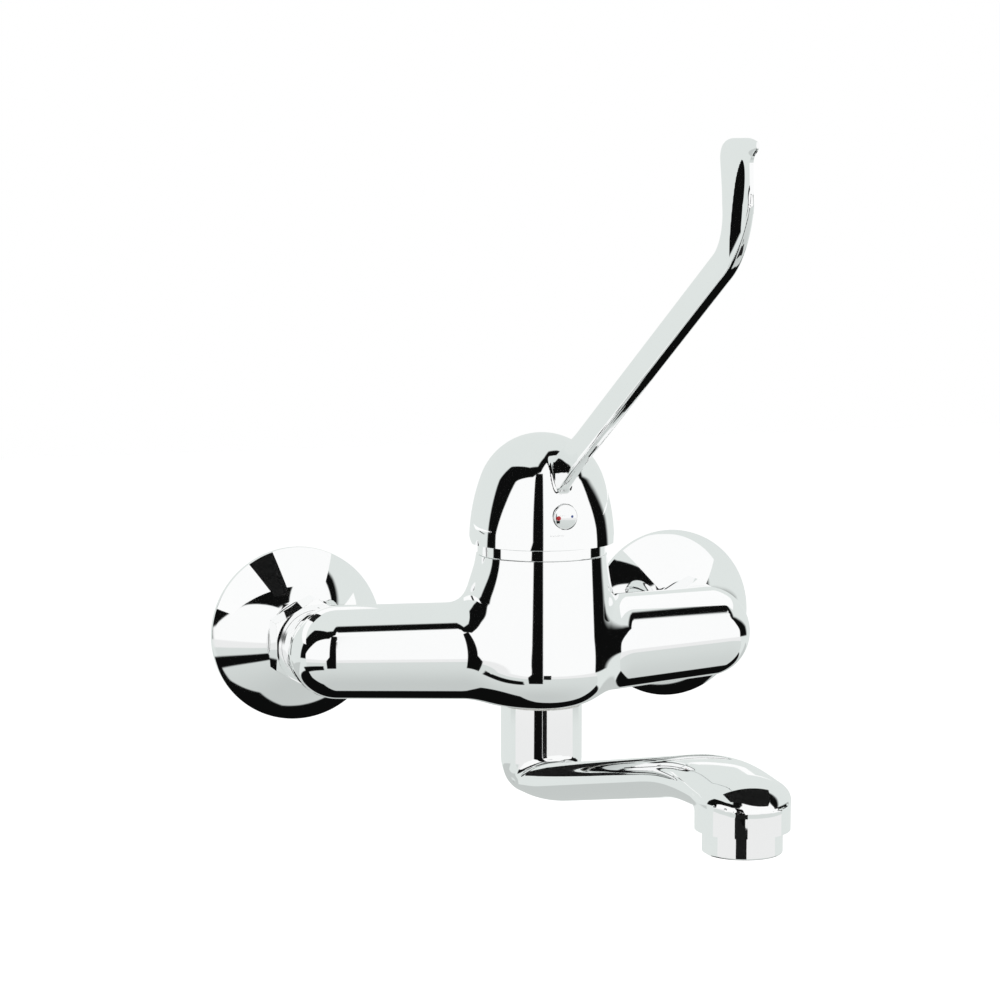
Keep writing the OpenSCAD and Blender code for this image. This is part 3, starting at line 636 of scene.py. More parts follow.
def new_material(name):
    mat = bpy.data.materials.new(name)
    mat.use_nodes = True
    nodes = mat.node_tree.nodes
    nodes.clear()
    out = nodes.new("ShaderNodeOutputMaterial")
    bsdf = nodes.new("ShaderNodeBsdfPrincipled")
    mat.node_tree.links.new(bsdf.outputs["BSDF"], out.inputs["Surface"])
    return mat, mat.node_tree, bsdf


def feed(tree, socket, value):
    """Links a socket to another one, or sets its plain value."""
    if hasattr(value, "is_output"):
        tree.links.new(value, socket)
    else:
        socket.default_value = value


def maths(tree, op, *values):
    node = tree.nodes.new("ShaderNodeMath")
    node.operation = op
    for socket, value in zip(node.inputs, values):
        feed(tree, socket, value)
    return node.outputs[0]


def handling_group():
    """Faint haze, fine polishing lines and unevenness that handling and polishing leave on a surface."""
    name = "Polish and handling"
    if name in bpy.data.node_groups:
        return bpy.data.node_groups[name]
    g = bpy.data.node_groups.new(name, "ShaderNodeTree")
    for way, labels in (("INPUT", ("Color", "Roughness", "Haze", "Tone", "Grain", "Patch")),
                        ("OUTPUT", ("Color", "Roughness", "Height"))):
        for label in labels:
            kind = "NodeSocketColor" if label == "Color" else "NodeSocketFloat"
            g.interface.new_socket(label, in_out=way, socket_type=kind)
    n, link = g.nodes, g.links.new
    gin, gout = n.new("NodeGroupInput"), n.new("NodeGroupOutput")
    coord = n.new("ShaderNodeTexCoord")

    def noise(scale, detail):
        node = n.new("ShaderNodeTexNoise")
        node.inputs["Detail"].default_value = detail
        link(coord.outputs["Object"], node.inputs["Vector"])
        link(gin.outputs[scale], node.inputs["Scale"])
        return node.outputs["Fac"]

    patch, grain = noise("Patch", 4), noise("Grain", 2)
    tone = maths(g, "MULTIPLY", patch, gin.outputs["Tone"])
    darker = n.new("ShaderNodeMix")
    darker.data_type = "RGBA"
    darker.blend_type = "MULTIPLY"
    link(tone, darker.inputs["Factor"])
    link(gin.outputs["Color"], darker.inputs["A"])
    darker.inputs["B"].default_value = (0.55, 0.56, 0.57, 1)
    link(darker.outputs["Result"], gout.inputs["Color"])
    both = maths(g, "MULTIPLY", patch, grain)
    haze = maths(g, "MULTIPLY_ADD", both, gin.outputs["Haze"], gin.outputs["Roughness"])
    link(haze, gout.inputs["Roughness"])
    link(grain, gout.inputs["Height"])
    return g


BUMP_DEPTH = 0.02


def surface(name, color, roughness, metallic, haze, tone, grain, patch, bump):
    """Material on the shared handling effect; what stays the same goes on the shader's own sockets."""
    mat, tree, bsdf = new_material(name)
    group = tree.nodes.new("ShaderNodeGroup")
    group.node_tree = handling_group()
    for label, value in (("Color", (*color, 1)), ("Roughness", roughness), ("Haze", haze),
                         ("Tone", tone), ("Grain", grain), ("Patch", patch)):
        group.inputs[label].default_value = value
    bsdf.inputs["Metallic"].default_value = metallic
    tree.links.new(group.outputs["Color"], bsdf.inputs["Base Color"])
    tree.links.new(group.outputs["Roughness"], bsdf.inputs["Roughness"])
    if bump:
        relief = tree.nodes.new("ShaderNodeBump")
        relief.inputs["Strength"].default_value = bump
        relief.inputs["Distance"].default_value = BUMP_DEPTH * MM
        tree.links.new(group.outputs["Height"], relief.inputs["Height"])
        tree.links.new(relief.outputs["Normal"], bsdf.inputs["Normal"])
    return mat


# Finishes: colour, roughness (none where a setting gives it), metal, haze, tone, grain, patch and bump
FINISHES = {
    "Polished chrome": ("chrome", None, 1.0, 0.02, 0.04, 2600.0, 45.0, 0.0),
    "Turned brass": ("brass", 0.24, 1.0, 0.2, 0.3, 1500.0, 90.0, 0.35),
    "Seal rubber": ("rubber", 0.55, 0.0, 0.3, 0.4, 2500.0, 120.0, 0.5),
    "Cartridge plastic": ("plastic", 0.38, 0.0, 0.2, 0.15, 1800.0, 80.0, 0.3),
    "Ground ceramic": ("ceramic", 0.1, 0.0, 0.1, 0.1, 3000.0, 150.0, 0.15),
    "Turned steel": ("steel", 0.3, 1.0, 0.2, 0.25, 1600.0, 100.0, 0.3),
    "Index plug metal": ("chrome", 0.06, 1.0, 0.04, 0.06, 3200.0, 300.0, 0.0),
    "Hot enamel": ("hot", 0.16, 0.0, 0.15, 0.3, 4000.0, 900.0, 0.1),
    "Cold enamel": ("cold", 0.16, 0.0, 0.15, 0.3, 4000.0, 900.0, 0.1),
}
SLOT_FINISH = {"chrome": "Polished chrome", "brass": "Turned brass", "rubber": "Seal rubber",
               "white_plastic": "Cartridge plastic", "ceramic": "Ground ceramic", "steel": "Turned steel",
               "index": "Polished chrome"}


def coat(name):
    """Material of a finish, made once."""
    if name in bpy.data.materials:
        return bpy.data.materials[name]
    colour, roughness, *wear_and_grain = FINISHES[name]
    if roughness is None:
        roughness = finish().chrome_gloss
    return surface(name, getattr(finish(), colour), roughness, *wear_and_grain)


def wear(obj, mat):
    obj.data.materials.clear()
    obj.data.materials.append(mat)


def plate(obj, node, body):
    """Chromes a finished piece and puts it in its node's place."""
    wear(obj, coat("Polished chrome"))
    settle_in(obj, node, body)


# Operators

class TAP_OT_body(bpy.types.Operator):
    """Casts the body: barrel and both arms with their elbows"""

    bl_idname = "tap.body"
    bl_label = "Body casting"

    def execute(self, context):
        deselect()
        parts = [rod((0, BARREL_Y, CORE_FOOT), (0, BARREL_Y, CORE_TOP), BARREL_CORE_R)]
        for side in (-1, 1):
            elbow = (side * ELBOW[0], ELBOW[1], 0)
            leg = side * LEG_X
            parts += [rod(elbow, (0, BARREL_Y, 0), ARM_CORE_R), ball(elbow, ELBOW_CORE_R),
                      rod((leg, ELBOW[1], 0), (leg, CORE_BACK, 0), LEG_CORE_R)]

        def field(x, y, z):
            return np.maximum(np.maximum(body_field(x, y, z), z - CORE_TOP), y - CORE_BACK)

        obj = cast("body_casting_skin", parts, field, sizes().casting_step)
        slice_off(obj, (0, 0, BARREL_TOP), (0, 0, 1))
        slice_off(obj, (0, 0, BARREL_FOOT), (0, 0, -1))
        slice_off(obj, (0, LEG_END, 0), (0, 1, 0))
        drill(obj, (0, BARREL_Y, CARTRIDGE_FLOOR), (0, BARREL_Y, TOOL_TOP), CARTRIDGE_R)
        drill(obj, (0, BARREL_Y, CLAMP_FLOOR), (0, BARREL_Y, TOOL_TOP), CLAMP_R)
        drill(obj, (0, BARREL_Y, TOOL_FOOT), (0, BARREL_Y, SOCKET_TOP), SOCKET_R)
        for side in (-1, 1):
            leg = side * LEG_X
            drill(obj, (leg, TAIL_END, 0), (leg, TOOL_BACK, 0), TAIL_R)
        polish(obj, body_field)
        plate(obj, "body_casting", "tap_body")
        return {"FINISHED"}


LENS_MIDDLE = 160.0
LENS_HALF_H = 17.0
LENS_HALF_W = 4.0
LENS_START = 0.3
LENS_LEAN = 7.6
LENS_POWER = 0.75
LENS_EDGE = (-0.2, 1.1)
LENS_TURN = math.radians(25.5)
FLANK = (0.6, 0.85)


def hone_paddle(p, normal):
    """Hollow-ground lens on the paddle's flanks: inside it the normals turn towards the front edge."""
    y, z = p.T[1:]
    depth = LEVER_REACH - (BARREL_Y - y)
    climb = np.clip((z - LENS_MIDDLE) / (2 * LENS_HALF_H) + 0.5, 0, 1)
    centre = LENS_START - LENS_LEAN * climb ** LENS_POWER
    half = LENS_HALF_W * np.sqrt(np.clip(1 - ((z - LENS_MIDDLE) / LENS_HALF_H) ** 2, 0, 1))
    inside = ease(half - np.abs(depth - centre), *LENS_EDGE) * (half > 0)
    share = inside * ease(np.abs(normal[:, 0]), *FLANK)
    flat = np.hypot(normal[:, 0], normal[:, 1])
    turn = np.arctan2(-normal[:, 1], np.abs(normal[:, 0]))
    turn += share * (LENS_TURN - turn)
    honed = normal.copy()
    honed[:, 0] = np.sign(normal[:, 0]) * flat * np.cos(turn)
    honed[:, 1] = -flat * np.sin(turn)
    return honed


LEVER_ROOT = 16.0
KNEE_BACK = 4.0
DOME_CUT = 36.0
DOME_CORE = (60.0, 25.5)
CROWN_CORE = (56.0, 22.5)
ARM_CORE_H = 10.5
PADDLE_CORE_H = 18.0
LIP_CORE = (180.0, 15.0, 3.0, 4.0)
LEVER_STEP = 0.7
DOME_HOLLOW_R = 23.2
PLUG_GAP = 0.2
PLUG_TOOL_END = 34.0


class TAP_OT_lever(bpy.types.Operator):
    """Casts the handle: the dome with the long bent lever"""

    bl_idname = "tap.lever"
    bl_label = "Lever handle"

    def execute(self, context):
        deselect()
        c, s = math.cos(ARM_SLOPE), math.sin(ARM_SLOPE)
        root = (0, BARREL_Y - LEVER_ROOT * c, ARM_Z + LEVER_ROOT * s)
        tip_y = BARREL_Y - LEVER_REACH
        knee = (0, tip_y + KNEE_BACK, ARM_Z + (LEVER_REACH - KNEE_BACK) * math.tan(ARM_SLOPE))
        lip_z, lip_out, lip_w, lip_h = LIP_CORE
        parts = [rod((0, BARREL_Y, DOME_CUT), (0, BARREL_Y, DOME_CORE[0]), DOME_CORE[1]),
                 ball((0, BARREL_Y, CROWN_CORE[0]), CROWN_CORE[1]),
                 bar(root, knee, LEVER_T, ARM_CORE_H),
                 bar((0, tip_y, knee[2] - KNEE_BACK), (0, tip_y, LEVER_TOP), LEVER_T, PADDLE_CORE_H),
                 bar((0, tip_y, lip_z), (0, tip_y - lip_out, lip_z), lip_w, lip_h)]

        def field(x, y, z):
            return np.maximum(handle_field(x, y, z), DOME_CUT - z)

        obj = cast("lever_handle_skin", parts, field, sizes().casting_step * LEVER_STEP)
        slice_off(obj, (0, 0, DOME_BASE), (0, 0, -1))
        drop = PIVOT_Z - DOME_BASE
        tilt = Vector((0, math.sin(LIFT), -math.cos(LIFT)))
        slice_off(obj, Vector((0, BARREL_Y, PIVOT_Z)) + tilt * drop, tilt)
        hollow(obj, ball((0, BARREL_Y, PIVOT_Z), DOME_HOLLOW_R))
        seat, mouth = (0, BARREL_Y - PLUG_SEAT, PLUG_Z), (0, BARREL_Y - PLUG_TOOL_END, PLUG_Z)
        hollow(obj, rod(seat, mouth, PLUG_R + PLUG_GAP, 64))
        polish(obj, handle_field, hone_paddle)
        plate(obj, "lever_handle", "lever")
        return {"FINISHED"}


SPOUT_CORE_R = 14.5
NECK_CORE = (-48.0, -12.0)
RUN_CORE_Z = -14.6
RUN_CORE = (22.0, 12.5)
SHELF_CORE_Z = -14.0
SHELF_CORE = (25.0, 12.0)
SHELF_OVERLAP = 6.0
OUTLET_CORE = (-32.0, -8.0)
OUTLET_SIDE_Y = -170.0
NECK_SIDE_Y = -100.0
AWAY = 60.0
SPOUT_STEP = 0.75
NECK_CUT_Y = -90.0
OUTLET_CUT = 15.5
OUTLET_BORE = (-40.0, -16.1, 12.0)
SPIGOT_R = 11.0
SPIGOT_BORE = 7.5
SPIGOT_TOP = -6.4
SPIGOT_LAP = 0.3
GROOVES = ((-10.1, -7.5, 8.55), (-13.1, -10.5, 8.55), (-18.3, -13.7, 9.4))
GROOVE_ROUND = 0.15


class TAP_OT_spout(bpy.types.Operator):
    """Casts the swivel spout: neck, run and outlet"""

    bl_idname = "tap.spout"
    bl_label = "Spout"

    def execute(self, context):
        deselect()
        out_y = BARREL_Y - SPOUT_REACH
        foot, top = NECK_CORE
        knee_y = BARREL_Y - RUN_KNEE
        parts = [rod((0, BARREL_Y, foot), (0, BARREL_Y, top), SPOUT_CORE_R),
                 ball((0, BARREL_Y, NECK_FOOT), SPOUT_CORE_R),
                 bar((0, BARREL_Y, foot), (0, knee_y, RUN_CORE_Z), *RUN_CORE),
                 bar((0, knee_y + SHELF_OVERLAP, SHELF_CORE_Z), (0, out_y, SHELF_CORE_Z), *SHELF_CORE),
                 rod((0, out_y, OUTLET_CORE[0]), (0, out_y, OUTLET_CORE[1]), SPOUT_CORE_R)]

        def field(x, y, z):
            under = OUTLET_CORE[0] - z - AWAY * (y > OUTLET_SIDE_Y)
            over = z - top - AWAY * (y < NECK_SIDE_Y)
            return np.maximum(np.maximum(spout_field(x, y, z), under), over)

        obj = cast("spout_skin", parts, field, sizes().casting_step * SPOUT_STEP)
        slice_off(obj, (0, 0, SPOUT_TOP), (0, 0, 1), lambda x, y, z: y > NECK_CUT_Y)
        slice_off(obj, (0, 0, OUTLET_FOOT), (0, 0, -1), lambda x, y, z: y < out_y + OUTLET_CUT)
        low, high, bore = OUTLET_BORE
        drill(obj, (0, out_y, low), (0, out_y, high), bore)
        polish(obj, spout_field)
        plate(obj, "spout", "swivel_spout")
        obj.visible_glossy = False
        wall = [(SPIGOT_BORE, SPIGOT_TOP, SMALL_ROUND), (SPIGOT_R, SPIGOT_TOP, 0.4)]
        for low, high, floor in GROOVES:
            wall += [(SPIGOT_R, high, 0), (floor, high, GROOVE_ROUND), (floor, low, GROOVE_ROUND),
                     (SPIGOT_R, low, 0)]
        wall += [(SPIGOT_R, SPOUT_TOP - SPIGOT_LAP, 0), (SPIGOT_BORE, SPOUT_TOP - SPIGOT_LAP, 0)]
        spigot = turned("spout_spigot", rounded(wall, 3), (0, BARREL_Y, 0), (0, 0, 1), FINE_SIDES)
        face_up(spigot)
        wear(spigot, coat("Turned brass"))
        spigot.visible_glossy = False
        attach(spigot, "swivel_spout")
        return {"FINISHED"}


ROSE_R = 32.49
ROSE_RIM = 2.2
ROSE_NOSE = (15.6, 19.0)
ROSE_SWELL = 62.0
ROSE_WALL = 1.5
UNION_R = 13.25
NUT = (19.6, 31.3)
NUT_FLATS = 30.0
NUT_EASE = 0.2
NUT_CHAMFER = 1.4
NUT_FLOOR = 1.8
NUT_EDGE = 0.3
NUT_SHARP = 25.0
BLANK_PAST = 0.5
BLANK_LIP = 0.001
TOOL_PAST = 3.0
ROSE_STEPS = 28
RIM_EDGE = 0.4
RIM_ROUND = 0.9


class TAP_OT_roses(bpy.types.Operator):
    """Spins the wall roses: a rim, a swelling cone and a nose, with a hollow back"""

    bl_idname = "tap.roses"
    bl_label = "Wall roses"

    def execute(self, context):
        rim, nose = Vector((ROSE_R, ROSE_RIM)), Vector(ROSE_NOSE)
        chord = nose - rim
        out = Vector((chord.y, -chord.x)).normalized()
        centre = (rim + nose) / 2 - out * math.sqrt(ROSE_SWELL ** 2 - (chord.length / 2) ** 2)

        def sweep(radius, low, high):
            a, b = (math.atan2(p[1] - centre.y, p[0] - centre.x) for p in (low, high))
            return arc(centre, radius, a, b, ROSE_STEPS)

        edge = sizes().edge_round
        nose_back = ROSE_NOSE[1] - ROSE_WALL
        front = sweep(ROSE_SWELL, rim, nose)
        back_low = Vector((ROSE_R - ROSE_WALL, ROSE_RIM - ROSE_WALL))
        inner = sweep(ROSE_SWELL - ROSE_WALL, back_low, Vector((ROSE_NOSE[0], nose_back)))
        foot = [(ROSE_R - RIM_EDGE, 0, 0), (ROSE_R, RIM_EDGE, 0), (*rim, RIM_ROUND), (*front[1], 0)]
        mouth = [(*front[-2], 0), (*nose, edge), (UNION_R, ROSE_NOSE[1], SMALL_ROUND),
                 (UNION_R, nose_back, 0)]
        skin = [*rounded(foot)[:-1], *front[2:-1], *rounded(mouth)[1:]]
        skin += [*reversed(inner[:-1]), Vector((ROSE_R - ROSE_WALL, 0))]
        for side, node in ((-1, "hot_wall_rose"), (1, "cold_wall_rose")):
            obj = turned(node + "_turned", skin, (side * LEG_X, 0, 0), (0, -1, 0), FINEST_SIDES)
            face_up(obj)
            plate(obj, node, "tap_body")
        return {"FINISHED"}


class TAP_OT_nuts(bpy.types.Operator):
    """Hexagon union nuts with turned chamfers and broken edges"""

    bl_idname = "tap.nuts"
    bl_label = "Union nuts"

    def execute(self, context):
        corner, flat = NUT_FLATS / 2 / math.cos(math.pi / 6), NUT_FLATS / 2 + NUT_EASE
        low, high = NUT
        for side, node in ((-1, "hot_union_nut"), (1, "cold_union_nut")):
            deselect()
            x = side * LEG_X
            obj = join(node + "_cut", [rod((x, -low, 0), (x, -high, 0), corner, 6)])
            wide = corner + NUT_EASE
            blank = [Vector(v) for v in (
                (0, low - BLANK_PAST), (flat, low - BLANK_LIP), (wide, low + NUT_CHAMFER),
                (wide, high - NUT_CHAMFER), (flat, high + BLANK_LIP), (0, high + BLANK_PAST))]
            hollow(obj, turned("nut_blank", blank, (x, 0, 0), (0, -1, 0), FINE_SIDES), "INTERSECT")
            drill(obj, (x, -low + TOOL_PAST, 0), (x, -high + NUT_FLOOR, 0), UNION_R)
            drill(obj, (x, -low + TOOL_PAST, 0), (x, -high - TOOL_PAST, 0), TAIL_R)
            break_edges(obj, NUT_EDGE)
            face_up(obj, NUT_SHARP)
            plate(obj, node, "tap_body")
        return {"FINISHED"}


RING_INSET = 0.5
RING_H = 4.1
RING_WALL = 1.2
RING_SPIGOT = (21.4, 22.4, 1.5)
CAP_R = 22.8
CAP_H = 6.5
CAP_STEPS = 12


class TAP_OT_ring(bpy.types.Operator):
    """Turned cover ring with its spigot and the ball-shaped cap under the dome"""

    bl_idname = "tap.ring"
    bl_label = "Cover ring"

    def execute(self, context):
        edge = sizes().edge_round
        ring_r, low, high = TOP_R - RING_INSET, BARREL_TOP, BARREL_TOP + RING_H

        def cap_arc(radius, start, end):
            a, b = math.asin(start / radius), math.asin(end / radius)
            return arc((0, PIVOT_Z), radius, a, b, CAP_STEPS)

        cap = cap_arc(CAP_R, high - PIVOT_Z, CAP_H)
        under = cap_arc(CAP_R - RING_WALL, CAP_H, low - PIVOT_Z)
        bore, spigot, deep = RING_SPIGOT
        skin = rounded([(bore, low - deep, 0), (spigot, low - deep, SMALL_ROUND), (spigot, low, 0),
                        (ring_r, low, edge), (ring_r, high, edge), (cap[0].x, high, 0)])
        skin += [*cap[1:], *under]
        obj = turned("cover_ring_turned", skin, (0, BARREL_Y, 0), (0, 0, 1), FINEST_SIDES)
        face_up(obj)
        plate(obj, "cover_ring", "tap_body")
        return {"FINISHED"}


AERATOR_R = 12.25
AERATOR_H = 7.1
AERATOR_BORE = 9.75
AERATOR_LIP = 0.8
AERATOR_EDGE = 0.12
THREAD_R = 11.95
THREAD_H = 7.0
FLAT_X = 11.65
FLAT_UP = 1.5
FLAT_TOOL = (10.0, 30.0, 4.1)


class TAP_OT_aerator(bpy.types.Operator):
    """Turned aerator shell with two spanner flats"""

    bl_idname = "tap.aerator"
    bl_label = "Aerator shell"

    def execute(self, context):
        edge = sizes().edge_round
        low, bore, lip = OUTLET_FOOT - AERATOR_H, AERATOR_BORE, AERATOR_BORE - AERATOR_LIP
        y = BARREL_Y - SPOUT_REACH
        top = OUTLET_FOOT + THREAD_H
        skin = rounded([(lip, low, 0.3), (AERATOR_R, low, 0.5), (AERATOR_R, OUTLET_FOOT, edge),
                        (THREAD_R, OUTLET_FOOT, 0), (THREAD_R, top, 0.4), (bore, top, SMALL_ROUND),
                        (bore, low + AERATOR_LIP, 0), (lip, low + AERATOR_LIP, 0)])
        obj = turned("aerator_shell_turned", skin, (0, y, 0), (0, 0, 1), FINEST_SIDES)
        for side in (-1, 1):
            deselect()
            spot = Vector((side * (FLAT_X + FLAT_TOOL[0] / 2), y, low + FLAT_UP))
            bpy.ops.mesh.primitive_cube_add(size=1, location=spot * MM)
            tool = bpy.context.object
            tool.scale = Vector(FLAT_TOOL) * MM
            hollow(obj, join("flat", [tool]))
        break_edges(obj, AERATOR_EDGE, 40.0)
        face_up(obj)
        plate(obj, "aerator_shell", "swivel_spout")
        for part in (obj, frame["nodes"]["aerator_insert"], frame["nodes"]["aerator_washer"]):
            part.visible_glossy = False
        return {"FINISHED"}


# Dots on the plug: name, place across and up in mm, share of the dot radius, and enamel
DOTS = (("hot_dot", -2.75, -0.35, 1.0, "Hot enamel"),
        ("cold_dot", 2.25, 0.15, 0.6, "Cold enamel"))


class TAP_OT_plug(bpy.types.Operator):
    """Index plug in the dome with its hot and its cold dot"""

    bl_idname = "tap.plug"
    bl_label = "Index plug"

    def execute(self, context):
        centre = PLUG_FRONT - PLUG_SWELL
        at = math.acos((PLUG_R - PLUG_EDGE) / PLUG_SWELL)
        face = arc((0, centre), PLUG_SWELL, at, math.pi / 2, 16)
        foot = PLUG_SEAT + PLUG_LIFT
        skin = rounded([(0, foot, 0), (PLUG_R, foot, SMALL_ROUND), (PLUG_R, face[0].y - PLUG_STEP, 0.3),
                        (*face[0], 0)])
        obj = turned("index_plug_turned", [*skin, *face[1:]], (0, BARREL_Y, PLUG_Z), (0, -1, 0), FINE_SIDES)
        face_up(obj, PLUG_SHARP)
        wear(obj, coat("Index plug metal"))
        settle_in(obj, "index_plug", "lever")
        middle = Vector((0, BARREL_Y - centre, PLUG_Z))
        for name, across, up, share, enamel in DOTS:
            radius = sizes().dot_radius * share
            out = Vector((across, -math.sqrt(PLUG_SWELL ** 2 - across ** 2 - up ** 2), up)).normalized()
            drop = BEAD_RISE * radius
            bead = arc((0, -drop), math.hypot(radius, drop), math.atan2(BEAD_RISE, 1), math.pi / 2, 6)
            foot = [Vector((0, -DOT_SUNK)), Vector((radius, -DOT_SUNK))]
            dot = turned(name, [*foot, *bead], middle + out * PLUG_SWELL, out, 48)
            face_up(dot, PLUG_SHARP)
            wear(dot, coat(enamel))
            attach(dot, "lever")
        return {"FINISHED"}


class TAP_OT_hidden(bpy.types.Operator):
    """Finishes of the pieces that stay as they come from the frame"""

    bl_idname = "tap.hidden"
    bl_label = "Inner pieces"

    def execute(self, context):
        for part in frame["record"]["subparts"]:
            wear(frame["nodes"][part["node"]], coat(SLOT_FINISH[part["material_slot"]]))
        return {"FINISHED"}


# Stage

CAMERA_AT = Vector((-0.3407, -1.0355, 0.1799))
CAMERA_AIM = (math.radians(18.5), math.radians(6.95))
CAMERA_LENS = 103.8


def step_up(tree, value, start, end):
    """0 below start, 1 above end, smooth between."""
    node = tree.nodes.new("ShaderNodeMapRange")
    node.interpolation_type = "SMOOTHSTEP"
    for label, v in (("Value", value), ("From Min", start), ("From Max", end)):
        feed(tree, node.inputs[label], v)
    return node.outputs["Result"]


# Edges of the black flags that ring the front, as degrees off the front axis against degrees round it,
# counted from the right over the top
FLAG_INNER = ((0, 78), (14, 70), (30, 65), (45, 76), (56, 84), (68, 88), (80, 82), (90, 68), (106, 54),
              (126, 54), (138, 64), (150, 75), (164, 84), (181, 97), (227, 100), (248, 92), (270, 101),
              (305, 104), (330, 100), (350, 80), (360, 78))
FLAG_OUTER = ((0, 107), (16, 86), (28, 74), (45, 88), (56, 93), (68, 97), (80, 93), (90, 80), (106, 66),
              (118, 72), (126, 85), (134, 100), (160, 110), (200, 118), (227, 140), (248, 146), (300, 144),
              (330, 116), (350, 112), (360, 107))

# Studio: heights and azimuths in degrees, and brightness as a base and what a full share adds
EDGE_SOFT = (1.5, 4.5)
SIDE_GAP = (-31.0, -10.5)
SIDE_LIGHT = 0.78
STRIPE_LEFT = -33.0
STRIPE_RIGHT = -16.6
STRIPE_SOFT = 0.8
STRIPE_HEIGHT = (-32.0, 48.0)
STRIPE_LEAN = 0.8
LEAN_START = -3.0
LEAN_SPAN = 10.0
LOW_FLAG_ROUND = (-112.0, -50.0)
LOW_FLAG_HEIGHT = (-35.0, -25.0)
BOX_FOOT = (-18.0, -16.5)
GROUND_RISE = (-80.0, -18.0)
GROUND_LIGHT = (0.58, 0.13)
WALL_RISE = (-11.5, -9.5)
WALL_LIGHT = (0.86, 0.14)
ROOM_LIGHT = (0.58, 0.2)
BLACK = 0.004
PLAIN_LIGHT = 0.6
ROOM_TINT = (0.97, 1.02, 1.0, 1)
WHITE = (1, 1, 1, 1)


def flag_edge(tree, round_share, edge):
    """Angle off the front axis of a flag's edge, read from its points."""
    node = tree.nodes.new("ShaderNodeFloatCurve")
    curve = node.mapping.curves[0]
    for i, (turn, off) in enumerate(edge):
        spot = (turn / 360, off / 180)
        if i < 2:
            curve.points[i].location = spot
        else:
            curve.points.new(*spot)
    for spot in curve.points:
        spot.handle_type = "VECTOR"
    node.mapping.update()
    tree.links.new(round_share, node.inputs["Value"])
    return maths(tree, "MULTIPLY", node.outputs[0], 180.0)


def between(tree, value, low, high, soft):
    """1 between two values, with soft edges."""
    return maths(tree, "MULTIPLY", step_up(tree, value, low - soft, low + soft),
                 maths(tree, "SUBTRACT", 1.0, step_up(tree, value, high - soft, high + soft)))


def backdrop(tree, strength, color=WHITE):
    node = tree.nodes.new("ShaderNodeBackground")
    feed(tree, node.inputs["Color"], color)
    feed(tree, node.inputs["Strength"], strength)
    return node.outputs[0]


def choose(tree, share, first, second):
    node = tree.nodes.new("ShaderNodeMixShader")
    for i, value in enumerate((share, first, second)):
        tree.links.new(value, node.inputs[i])
    return node.outputs[0]


